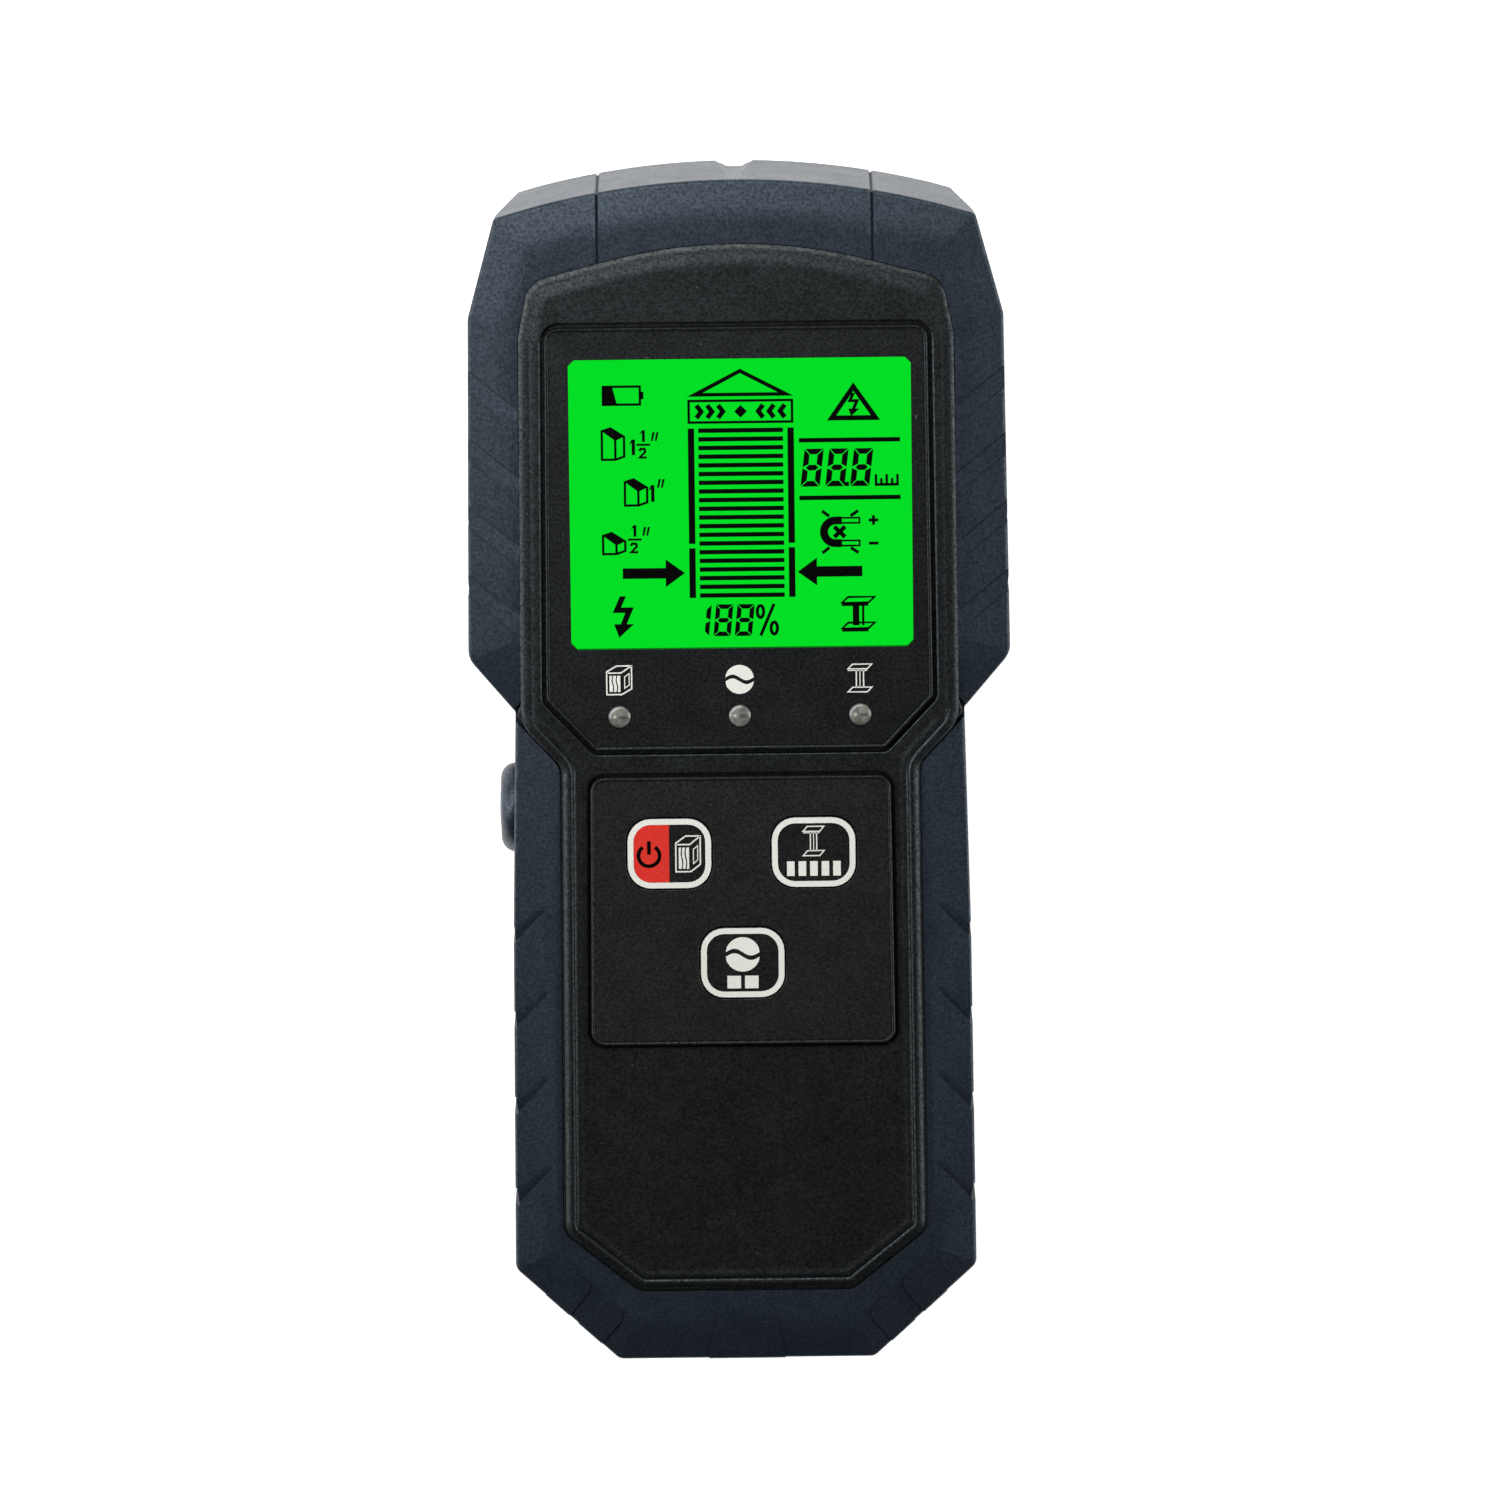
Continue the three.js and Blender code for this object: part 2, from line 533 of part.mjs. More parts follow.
function battery() {
  const half = BATTERY.width / 2;
  const { yLow, yHigh, zLow, zHigh } = BATTERY;
  const can = plate([[half, zHigh, 1.6], [half, zLow, 1.6], [-half, zLow, 1.6], [-half, zHigh, 1.6]], 0,
    yHigh - yLow).rotateX(Math.PI / 2).translate(0, yHigh, 0);
  const middle = (zLow + zHigh) / 2;
  const terminal = (radius, x) =>
    rod(radius, 0, 0, -0.2, 2.2, 14).rotateX(-Math.PI / 2).translate(x, yHigh, middle);
  return join(can, terminal(2.9, 6.35), terminal(2.6, -6.35));
}

function batterySnap() {
  const y = BATTERY.yHigh + 2.25;
  const middle = (BATTERY.zLow + BATTERY.zHigh) / 2;
  return box(-12, 12, y, y + 1.7, middle - 5, middle + 5);
}

// A lead from the battery snap, through the bay's end wall, to the underside of the main board.
function batteryLead(side) {
  const start = BATTERY.yHigh + 4.05;
  const route = new THREE.CatmullRomCurve3([
    new THREE.Vector3(side * 3, start, 11.2),
    new THREE.Vector3(side * 3, start + 1.6, 11.2),
    new THREE.Vector3(side * 3, start + 3.6, 11.8),
    new THREE.Vector3(side * 3.1, start + 5.2, 14.5),
    new THREE.Vector3(side * 3.2, start + 5.6, 17.5),
    new THREE.Vector3(side * 3.2, start + 5.6, Z_BOARD - SLIP),
  ]);
  const section = new THREE.Shape();
  section.absarc(0, 0, 0.65, 0, Math.PI * 2);
  return new THREE.ExtrudeGeometry(section, { steps: 12, curveSegments: 4, extrudePath: route });
}

// ---------------------------------------------------------------- assembly
const PADS = { head: [9, 2.4, 12.5, 63], handle: [2.6, 9, 20.5, -36] }; // half width, half height, x and y
const BACKLIGHT = { halfX: 22.4, halfY: 18.4, x: 0, y: 34.6 };
const CONNECTOR = { half: 20, yLow: 13.6, yHigh: 15.6 };
const SIDE_SWITCH = { xLow: -19.5, xHigh: -15.6, yLow: -9, yHigh: -3, height: 7.4 };
const BUZZER = { radius: 6, x: 10.5, y: 4.5, height: 6.5 };
const CAPACITOR = { radius: 2.5, x: -7, y: 5, height: 7.5 };
const CHIP = { xLow: -12, xHigh: -2, yLow: 25, yHigh: 35, height: 1.4 };
const CRYSTAL = { halfX: 2.3, halfY: 5.2, x: 6, y: 31, height: 3.4 };
const SENSOR_BOARD = { halfX: 21, halfY: 25.4, y: 40.4 };
const ELECTRODE = { halfX: 6, halfY: 15, x: 8.5, y: 42, thick: 0.3 };

part("front_housing", frontHousing(), "housing");
part("back_housing", backHousing(), "housing");
part("head_armour", headArmour(), "armour");
part("handle_armour", handleArmour(), "armour");
part("display_lens", displayLens(), "overlay");
part("key_panel", keyPanel(), "overlay");
part("side_button", sideButton(), "armour");
for (const [name, place] of Object.entries(KEY_PLACES)) {
  part(`${name}_key`, key(place), "key");
  part(`${name}_switch`, keySwitch(place), "steel");
}
for (const [name, place] of Object.entries(LED_PLACES)) part(`${name}_light`, led(place), "led");

part("battery_door", batteryDoor(), "housing");
CASE_SCREWS.forEach((place, i) => part(`case_screw_${i + 1}`, caseScrew(place), "steel"));
BOARD_SCREWS.forEach((place, i) => part(`board_screw_${i + 1}`, boardScrew(place), "steel"));
for (const [place, [halfX, halfY, x, y]] of Object.entries(PADS)) {
  for (const [name, side] of [["left", -1], ["right", 1]]) {
    const pad = plate(rectangle(halfX, halfY, 1, side * x, y), Z_PAD, Z_BACK - SLIP);
    part(`${place}_pad_${name}`, pad, "felt");
  }
}

part("main_board", mainBoard(), "board");
const glass = rectangle(LCD_GLASS[0] / 2, LCD_GLASS[1] / 2, 0, ...LCD_CENTRE);
part("lcd_glass", plate(glass, Z_GLASS, Z_ROOF - SLIP), "lcd");
const diffuser = rectangle(BACKLIGHT.halfX, BACKLIGHT.halfY, 0, BACKLIGHT.x, BACKLIGHT.y);
part("lcd_backlight", plate(diffuser, Z_BOARD_TOP + SLIP, Z_GLASS - SLIP), "white");
part("lcd_frame", lcdFrame(), "white");
const { half, yLow, yHigh } = CONNECTOR;
part("lcd_connector", box(-half, half, yLow, yHigh, Z_BOARD_TOP + SLIP, Z_GLASS - SLIP), "rubber");

// Components that hang from the main board's underside.
function hangingBox({ xLow, xHigh, yLow, yHigh, height }) {
  return box(xLow, xHigh, yLow, yHigh, Z_BOARD - height, Z_BOARD - SLIP);
}

function hangingRod({ radius, x, y, height }, steps) {
  return rod(radius, x, y, Z_BOARD - height, Z_BOARD - SLIP, steps);
}

part("side_switch", hangingBox(SIDE_SWITCH), "chip");
part("buzzer", hangingRod(BUZZER, 24), "chip");
part("capacitor", hangingRod(CAPACITOR, 16), "cell");
part("microcontroller", hangingBox(CHIP), "chip");
const crystalCan = rectangle(CRYSTAL.halfX, CRYSTAL.halfY, 2, CRYSTAL.x, CRYSTAL.y);
part("crystal", plate(crystalCan, Z_BOARD - CRYSTAL.height, Z_BOARD - SLIP), "steel");

const sensorOutline = rectangle(SENSOR_BOARD.halfX, SENSOR_BOARD.halfY, 1.5, 0, SENSOR_BOARD.y);
part("sensor_board", plate(sensorOutline, Z_SENSOR, Z_SENSOR_TOP), "board");
part("board_header", boardHeader(), "chip");
part("coil_bobbin", coilBobbin(), "white");
part("search_coil", searchCoil(), "copper");
for (const [name, side] of [["left", -1], ["right", 1]]) {
  const foil = rectangle(ELECTRODE.halfX, ELECTRODE.halfY, 0.5, side * ELECTRODE.x, ELECTRODE.y);
  part(`stud_electrode_${name}`, plate(foil, Z_SENSOR - ELECTRODE.thick, Z_SENSOR - SLIP), "copper");
}
part("battery", battery(), "cell");
part("battery_snap", batterySnap(), "rubber");
part("battery_lead_red", batteryLead(1), "red");
part("battery_lead_black", batteryLead(-1), "rubber");

export default tool;
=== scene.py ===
"""Hand-held stud finder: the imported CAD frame, with its visible pieces rebuilt in fine detail and every piece
given a procedural material. Helper functions take millimetres; Blender objects are in metres."""
import json
import math

import bmesh
import bpy
from mathutils import Matrix, Vector


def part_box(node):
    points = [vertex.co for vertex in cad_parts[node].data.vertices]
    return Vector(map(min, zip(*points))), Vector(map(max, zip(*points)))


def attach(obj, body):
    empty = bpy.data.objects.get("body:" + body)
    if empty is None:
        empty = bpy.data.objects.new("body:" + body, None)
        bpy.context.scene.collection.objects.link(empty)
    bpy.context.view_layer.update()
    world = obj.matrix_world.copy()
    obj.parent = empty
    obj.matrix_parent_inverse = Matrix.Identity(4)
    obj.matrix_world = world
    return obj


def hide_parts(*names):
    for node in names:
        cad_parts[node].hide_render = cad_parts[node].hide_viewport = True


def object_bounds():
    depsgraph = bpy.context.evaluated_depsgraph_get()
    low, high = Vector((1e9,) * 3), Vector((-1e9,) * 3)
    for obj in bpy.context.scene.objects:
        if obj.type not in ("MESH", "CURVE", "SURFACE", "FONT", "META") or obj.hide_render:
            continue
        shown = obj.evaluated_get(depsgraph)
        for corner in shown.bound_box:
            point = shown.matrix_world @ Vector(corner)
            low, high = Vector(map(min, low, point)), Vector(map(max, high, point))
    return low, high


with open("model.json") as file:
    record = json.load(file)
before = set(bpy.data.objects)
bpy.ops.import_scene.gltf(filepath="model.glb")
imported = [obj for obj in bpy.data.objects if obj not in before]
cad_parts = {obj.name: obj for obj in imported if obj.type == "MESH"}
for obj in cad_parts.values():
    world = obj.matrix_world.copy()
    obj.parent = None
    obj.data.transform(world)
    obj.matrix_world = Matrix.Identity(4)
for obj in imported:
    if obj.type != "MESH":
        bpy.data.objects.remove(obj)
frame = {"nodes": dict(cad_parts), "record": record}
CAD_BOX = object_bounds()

MM = 0.001
UPRIGHT = Matrix.Identity(4)


def cad_mm(node):
    """A CAD node's lowest and highest corners, in millimetres."""
    low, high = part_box(node)
    return low / MM, high / MM


def middle_mm(node):
    low, high = cad_mm(node)
    return (low + high) / 2


# ------------------------------------------------------------------ driving dimensions, from the CAD frame
ARMOUR_LOW, ARMOUR_HIGH = cad_mm("head_armour")
BACK_LOW, BACK_HIGH = cad_mm("back_housing")
LENS_LOW, LENS_HIGH = cad_mm("display_lens")
PANEL_LOW, PANEL_HIGH = cad_mm("key_panel")
GLASS_LOW, GLASS_HIGH = cad_mm("lcd_glass")
DOOR_LOW, DOOR_HIGH = cad_mm("battery_door")
TOP = ARMOUR_HIGH.y - 0.02
HEAD_HALF = ARMOUR_HIGH.x
BOTTOM = BACK_LOW.y - 0.5
HANDLE_HALF = cad_mm("handle_armour")[1].x
Z_SPLIT = ARMOUR_LOW.z  # underside of the armour
Z_ARMOUR = ARMOUR_HIGH.z  # front of the armour
Z_PARTING = cad_mm("front_housing")[0].z
Z_BACK = BACK_LOW.z
Z_SEAT = 24.4  # ledge under the armour's front lip
Z_STRIP = Z_ARMOUR + 0.2  # housing beside the armour
Z_LENS = LENS_HIGH.z - 0.15  # front of the display lens
Z_FACE = Z_LENS - 0.15  # the housing's raised front
ARMOUR_THICK = 1.6
WALL = 1.75
NECK_Y = 6.95  # where the two armour pieces meet
ARC_RADIUS = 100.0
CORNER_STEPS = 7
ARC_STEPS = 22
CUT_LOW, CUT_HIGH = 20, 30  # a cut through the front starts behind its plates and ends in front of them


# ------------------------------------------------------------------ outlines, clockwise (x, y, radius)
def mirrored(right_half):
    left = [c for c in right_half if c[0] > 0]
    return right_half + [(-x, y, r) for x, y, r in reversed(left)]


def arc_corners(y_top, half, radius):
    places = [half * i / ARC_STEPS for i in range(ARC_STEPS + 1)]
    return [(x, y_top - radius + math.sqrt(radius * radius - x * x), 0.0) for x in places]


BODY = mirrored(arc_corners(TOP, 24.8, ARC_RADIUS) + [
    (29.9, TOP - 4.57, 1.0), (33.3, 57.0, 4.0), (HEAD_HALF, 14.2, 3.0), (28.0, 7.4, 0.6),
    (HANDLE_HALF, -20.0, 0.0), (HANDLE_HALF + 0.3, -63.2, 1.6), (16.0, BOTTOM, 1.4)])
SEAM = mirrored(arc_corners(66.15, 17.1, 65.0) + [
    (25.8, 61.6, 3.5), (27.15, 54.6, 2.4), (27.25, 8.9, 1.5), (28.6, 7.3, 0.0), (28.6, 6.95, 0.0),
    (22.4, 0.45, 2.4), (22.8, -58.6, 2.4), (13.4, -66.1, 2.4)])
# the housing beside the armour, which stops short of the neck's edge
STRIP = [(max(min(x, 27.7), -27.7), y, r) for x, y, r in SEAM]
FACE = mirrored(arc_corners(66.05, 17.1, 65.0) + [
    (25.7, 61.5, 3.5), (27.05, 54.6, 2.4), (27.3, 6.0, 4.5), (22.2, 0.5, 2.4), (22.5, -58.4, 2.4),
    (13.3, -65.8, 2.4)])
DISPLAY = mirrored([(0.0, 55.8, 0.0), (23.8, 55.8, 1.7), (24.1, 9.0, 0.9), (18.1, 2.6, 0.9), (0.0, 2.6, 0.0)])
PANEL = mirrored([(0.0, -0.7, 0.0), (18.7, -0.7, 1.7), (19.0, -34.6, 1.7), (0.0, -34.6, 0.0)])


def rectangle(half_x, half_y, radius, x=0.0, y=0.0):
    return [(x + half_x, y + half_y, radius), (x + half_x, y - half_y, radius),
            (x - half_x, y - half_y, radius), (x - half_x, y + half_y, radius)]


def inset(corners, d):
    """Moves every side of an outline inwards by d, or outwards if d is negative."""
    moved = []
    count = len(corners)
    for i, (x, y, r) in enumerate(corners):
        before = Vector(corners[i - 1][:2])
        here = Vector((x, y))
        after = Vector(corners[(i + 1) % count][:2])
        a = (here - before).normalized()
        b = (after - here).normalized()
        turn = a.x * b.y - a.y * b.x
        spread = 1 + a.dot(b)
        radius = max(r + (-d if turn < 0 else d), 0.12) if r else 0.0
        moved.append((x + (a.y + b.y) / spread * d, y - (a.x + b.x) / spread * d, radius))
    return moved


def outline_points(corners, steps=CORNER_STEPS):
    """The outline's points, with each rounded corner drawn as an arc."""
    points = []
    count = len(corners)
    for i, (x, y, r) in enumerate(corners):
        here = Vector((x, y))
        if not r:
            points.append(here)
            continue
        back = Vector(corners[i - 1][:2]) - here
        ahead = Vector(corners[(i + 1) % count][:2]) - here
        half = back.angle(ahead) / 2
        reach = min(r / math.tan(half), back.length * 0.49, ahead.length * 0.49)
        radius = reach * math.tan(half)
        bisector = (back.normalized() + ahead.normalized()).normalized()
        centre = here + bisector * (radius / math.sin(half))
        start = here + back.normalized() * reach - centre
        sweep = start.angle_signed(here + ahead.normalized() * reach - centre)
        for k in range(steps + 1):
            points.append(centre + Matrix.Rotation(-sweep * k / steps, 2) @ start)
    return points


# ------------------------------------------------------------------ mesh helpers
def mesh_object(name, bm):
    bmesh.ops.recalc_face_normals(bm, faces=bm.faces)
    mesh = bpy.data.meshes.new(name)
    bm.to_mesh(mesh)
    bm.free()
    mesh.transform(Matrix.Scale(MM, 4))
    piece = bpy.data.objects.new(name, mesh)
    bpy.context.scene.collection.objects.link(piece)
    return piece


def add_loft(bm, rings):
    """A closed solid through rings of points, all with the same number of points."""
    loops = [[bm.verts.new(p) for p in ring] for ring in rings]
    count = len(loops[0])
    for low, high in zip(loops, loops[1:]):
        for i in range(count):
            bm.faces.new((low[i], low[(i + 1) % count], high[(i + 1) % count], high[i]))
    bm.faces.new(loops[0])
    bm.faces.new(list(reversed(loops[-1])))


def loft(name, corners, profile, steps=CORNER_STEPS):
    """A solid whose section is a profile of (inset, z), from the underside up. z may depend on the point."""
    rings = []
    for d, z in profile:
        points = outline_points(inset(corners, d), steps)
        rings.append([(p.x, p.y, z(p) if callable(z) else z) for p in points])
    bm = bmesh.new()
    add_loft(bm, rings)
    return mesh_object(name, bm)


def quarter_turn(steps):
    return [math.pi / 2 * i / steps for i in range(steps + 1)]


def rounded(z_low, z_high, edge, steps=4):
    """A straight-sided profile with a rounded front edge."""
    arc = [(edge - edge * math.cos(t), z_high - edge + edge * math.sin(t)) for t in quarter_turn(steps)]
    return [(0.0, z_low)] + arc


def block(name, low, high):
    bm = bmesh.new()
    bmesh.ops.create_cube(bm, size=1.0)
    low, high = Vector(low), Vector(high)
    for v in bm.verts:
        v.co = (low + high) / 2 + Vector([c * s for c, s in zip(v.co, high - low)])
    return mesh_object(name, bm)


def prism(name, section, length, place):
    """A section of (u, w) points drawn along its own Y for length, then put in place by a matrix."""
    bm = bmesh.new()
    add_loft(bm, [[(u, -length / 2, w) for u, w in section], [(u, length / 2, w) for u, w in section]])
    bmesh.ops.transform(bm, matrix=place, verts=bm.verts)
    return mesh_object(name, bm)


def above(place):
    """The matrix that stands a piece on a place's x and y."""
    return Matrix.Translation((*place.xy, 0))


def sideways(x, place):
    """The matrix that lays a turned piece along X at a place's y and z."""
    return Matrix.Translation((x, place.y, place.z)) @ Matrix.Rotation(math.pi / 2, 4, "Y")


def turned(name, profile, place=UPRIGHT, steps=48):
    """A solid of revolution about Z from a profile of (radius, z) that starts and ends on the axis."""
    bm = bmesh.new()
    rings = []
    for r, z in profile:
        if r == 0:
            rings.append([bm.verts.new((0, 0, z))])
        else:
            turns = [2 * math.pi * i / steps for i in range(steps)]
            rings.append([bm.verts.new((r * math.cos(t), r * math.sin(t), z)) for t in turns])
    for low, high in zip(rings, rings[1:]):
        for i in range(steps):
            j = (i + 1) % steps
            corners = [low[i % len(low)], low[j % len(low)], high[j % len(high)], high[i % len(high)]]
            bm.faces.new(list(dict.fromkeys(corners)))
    bmesh.ops.transform(bm, matrix=place, verts=bm.verts)
    return mesh_object(name, bm)


def rod(name, radius, low, high, place):
    return turned(name, [(0, low), (radius, low), (radius, high), (0, high)], place)


def combine(piece, tool, operation):
    """Joins a tool to a piece, cuts it away, or keeps what both share. The tool is deleted."""
    modifier = piece.modifiers.new("combine", "BOOLEAN")
    modifier.operation = operation
    modifier.object = tool
    modifier.solver = "MANIFOLD"
    graph = bpy.context.evaluated_depsgraph_get()
    mesh = bpy.data.meshes.new_from_object(piece.evaluated_get(graph))
    piece.modifiers.clear()
    old = piece.data
    piece.data = mesh
    bpy.data.meshes.remove(old)
    bpy.data.meshes.remove(tool.data)


def cut(piece, *tools):
    for tool in tools:
        combine(piece, tool, "DIFFERENCE")
    return piece


def join(piece, *others):
    for other in others:
        combine(piece, other, "UNION")


def settle(piece, body, material, replaces=(), sharp=32):
    """Shades a piece, gives it its material and lets it ride on its body."""
    mesh = piece.data
    mesh.name = piece.name
    mesh.polygons.foreach_set("use_smooth", [True] * len(mesh.polygons))
    mesh.set_sharp_from_angle(angle=math.radians(sharp))
    weighted = piece.modifiers.new("even shading", "WEIGHTED_NORMAL")
    weighted.keep_sharp = True
    weighted.weight = 80
    mesh.materials.clear()
    mesh.materials.append(MATERIALS[material])
    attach(piece, body)
    if replaces:
        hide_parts(*replaces)


# ------------------------------------------------------------------ materials
MATERIALS = {}


class Nodes:
    """A short way to write the node tree of a new material, or of the world."""

    def __init__(self, name, owner=None):
        if owner is None:
            owner = MATERIALS[name] = bpy.data.materials.new(name)
        owner.use_nodes = True
        self.tree = owner.node_tree
        self.tree.nodes.clear()
        self.coords = self.add("ShaderNodeTexCoord").outputs["Object"]

    def add(self, kind, inputs=None, **settings):
        node = self.tree.nodes.new(kind)
        for key, value in settings.items():
            setattr(node, key, value)
        for key, value in (inputs or {}).items():
            if isinstance(value, bpy.types.NodeSocket):
                self.tree.links.new(value, node.inputs[key])
            else:
                node.inputs[key].default_value = value
        return node

    def noise(self, size_mm, detail=2.0, rough=0.5, coords=None):
        """Noise with features of about size_mm, from 0 to 1."""
        inputs = {"Vector": coords or self.coords, "Scale": 1 / (size_mm * MM)}
        inputs.update({"Detail": detail, "Roughness": rough})
        return self.add("ShaderNodeTexNoise", inputs).outputs["Fac"]

    def scaled(self, vector, scale, location=(0, 0, 0)):
        inputs = {"Vector": vector, "Location": location, "Scale": scale}
        return self.add("ShaderNodeMapping", inputs).outputs["Vector"]

    def distance(self, vector, place=(0, 0, 0)):
        return self.add("ShaderNodeVectorMath", {0: vector, 1: place}, operation="DISTANCE").outputs["Value"]

    def spread(self, value, low, high, to_low, to_high):
        inputs = {"Value": value, "From Min": low, "From Max": high, "To Min": to_low, "To Max": to_high}
        return self.add("ShaderNodeMapRange", inputs).outputs["Result"]

    def mix(self, factor, a, b):
        """A mix of two colours. Inputs 0, 6 and 7 are the factor and the colours, and output 2 the result."""
        a, b = (value if isinstance(value, bpy.types.NodeSocket) else (*value, 1.0) for value in (a, b))
        return self.add("ShaderNodeMix", {0: factor, 6: a, 7: b}, data_type="RGBA").outputs[2]

    def math(self, operation, a, b):
        return self.add("ShaderNodeMath", {0: a, 1: b}, operation=operation).outputs[0]

    def bump(self, height, depth_mm, normal=None):
        inputs = {"Height": height, "Distance": depth_mm * MM, "Strength": 1.0}
        if normal:
            inputs["Normal"] = normal
        return self.add("ShaderNodeBump", inputs).outputs["Normal"]

    def output(self, shader):
        self.add("ShaderNodeOutputMaterial", {"Surface": shader.outputs[0]})

    def principled(self, inputs):
        self.output(self.add("ShaderNodeBsdfPrincipled", inputs))


def shade(colour, factor):
    return tuple(min(c * factor, 1.0) for c in colour)


def surface(slot, colour, rough, grain=0.3, depth=0.004, pebble=0.0, pebble_depth=0.0, mottle=0.12,
            dust=0.0, metal=0.0, coat=0.0, specular=0.5, rough_spread=0.03, streak=None, tint=(1, 1, 1)):
    """A moulded, printed or metal surface: fine grain, an optional pebbled texture, mottled colour and
    roughness, faint pale dust, and optional streaks drawn out along one axis."""
    n = Nodes(slot)
    patches = n.noise(9.0, 3.0, 0.6)
    fine = n.noise(grain, 2.0, 0.6)
    tone = n.mix(n.spread(patches, 0.3, 0.7, 0.0, 1.0), shade(colour, 1 - mottle), shade(colour, 1 + mottle))
    tone = n.mix(n.spread(fine, 0.4, 0.7, 0.0, 0.5), tone, shade(colour, 1 + 3 * mottle))
    if dust:
        tone = n.mix(n.spread(n.noise(0.55, 1.0, 0.4), 0.8, 0.84, 0.0, dust), tone, (0.2, 0.21, 0.22))
    roughness = n.spread(n.noise(4.0, 3.0, 0.6), 0.3, 0.7, rough - rough_spread, rough + rough_spread)
    roughness = n.math("ADD", roughness, n.spread(fine, 0.3, 0.7, -0.05, 0.05))
    shine = n.spread(n.noise(0.36, 1.0, 0.5), 0.3, 0.7, specular * 0.55, specular * 1.45)
    normal = n.bump(fine, depth)
    if pebble:
        inputs = {"Vector": n.coords, "Scale": 1 / (pebble * MM), "Smoothness": 0.6}
        cells = n.add("ShaderNodeTexVoronoi", inputs, feature="SMOOTH_F1")
        normal = n.bump(cells.outputs["Distance"], pebble_depth, normal)
    if streak:
        normal = n.bump(n.noise(0.25, 2.0, 0.6, n.scaled(n.coords, streak)), 0.01, normal)
    n.principled({
        "Base Color": tone, "Roughness": roughness, "Metallic": metal, "Normal": normal, "Coat Weight": coat,
        "Coat Roughness": 0.15, "Specular IOR Level": shine, "Specular Tint": (*tint, 1.0)})


def lcd_material():
    """A backlit panel: even green with a faint fall-off and the fine dots of its diffuser."""
    n = Nodes("lcd")
    dots = n.add("ShaderNodeTexVoronoi", {"Vector": n.coords, "Scale": 1 / (0.5 * MM)}).outputs["Distance"]
    level = n.spread(n.noise(18.0, 1.0), 0.3, 0.7, 0.98, 1.0)
    level = n.math("MULTIPLY", level, n.spread(dots, 0.0, 1.0, 1.0, 0.985))
    n.output(n.add("ShaderNodeEmission", {"Color": (0.0012, 0.77, 0.02, 1.0), "Strength": level}))


def window_material():
    """Thin clear plastic: mostly see-through, with a soft reflection at its surface."""
    n = Nodes("lens_window")
    smear = n.spread(n.noise(6.0, 3.0, 0.6), 0.35, 0.7, 0.08, 0.16)
    through = n.add("ShaderNodeBsdfTransparent", {"Color": (0.99, 0.99, 0.99, 1.0)}).outputs[0]
    reflect = n.add("ShaderNodeBsdfGlossy", {"Roughness": smear, "Color": (1, 1, 1, 1)}).outputs[0]
    n.output(n.add("ShaderNodeMixShader", {0: 0.004, 1: through, 2: reflect}))


def light_material():
    """A water-clear dome: a dark lead frame, a bright die beside its middle that also serves as a painted
    highlight, and a rim darkened with painted shade where the dome curves down.
    """
    n = Nodes("light")
    across = n.scaled(n.add("ShaderNodeTexCoord").outputs["Generated"], (1, 1, 0), (-0.5, -0.5, 0))
    # painted shade: the dome's rim is darkened where it curves down towards the housing
    rim = n.spread(n.distance(across), 0.31, 0.37, 0.0, 0.75)
    frame_bar = n.spread(n.distance(n.scaled(across, (0.5, 1.3, 0), (-0.06, 0, 0))), 0.06, 0.1, 0.6, 0.0)
    # the die is painted as a bright spot left of the middle, which also serves as a painted highlight
    die_and_painted_highlight = n.spread(n.distance(across, (-0.16, 0.02, 0)), 0.03, 0.07, 0.8, 0.0)
    cloud = n.spread(n.noise(0.9, 3.0, 0.6), 0.35, 0.65, 0.0, 1.0)
    tone = n.mix(cloud, (0.12, 0.117, 0.105), (0.24, 0.234, 0.207))
    tone = n.mix(rim, tone, (0.03, 0.03, 0.028))
    tone = n.mix(frame_bar, tone, (0.04, 0.038, 0.034))
    tone = n.mix(die_and_painted_highlight, tone, (0.6, 0.58, 0.5))
    n.principled({
        "Base Color": tone, "Roughness": 0.3, "Normal": n.bump(n.noise(0.3, 2.0, 0.6), 0.006),
        "Subsurface Weight": 0.15, "Subsurface Radius": (0.3 * MM, 0.3 * MM, 0.3 * MM), "Coat Weight": 0.8,
        "Coat Roughness": 0.08})


def felt_material():
    """Pressed felt: matted fibres that catch light at their tips."""
    n = Nodes("felt")
    fibres = n.noise(0.22, 5.0, 0.75, n.scaled(n.coords, (1, 0.35, 1)))
    tone = n.mix(n.spread(fibres, 0.35, 0.65, 0.0, 1.0), (0.012, 0.012, 0.014), (0.06, 0.06, 0.064))
    n.principled({"Base Color": tone, "Roughness": 0.95, "Normal": n.bump(fibres, 0.12), "Sheen Weight": 0.5})


def board_material():
    """Green solder mask with copper tracks just visible under it and a faint weave."""
    n = Nodes("circuit_board")
    tracks = n.add("ShaderNodeTexBrick", {
        "Vector": n.coords, "Scale": 1 / (9 * MM), "Mortar Size": 0.035, "Color1": (0, 0, 0, 1),
        "Color2": (0, 0, 0, 1), "Mortar": (1, 1, 1, 1)}).outputs["Color"]
    weave = n.add("ShaderNodeTexChecker", {"Vector": n.coords, "Scale": 1 / (0.4 * MM)}).outputs["Fac"]
    tone = n.mix(tracks, (0.008, 0.075, 0.028), (0.02, 0.17, 0.06))
    tone = n.mix(n.math("MULTIPLY", weave, 0.12), tone, (0.03, 0.2, 0.08))
    n.principled({"Base Color": tone, "Roughness": 0.35, "Normal": n.bump(tracks, 0.03), "Coat Weight": 0.3})


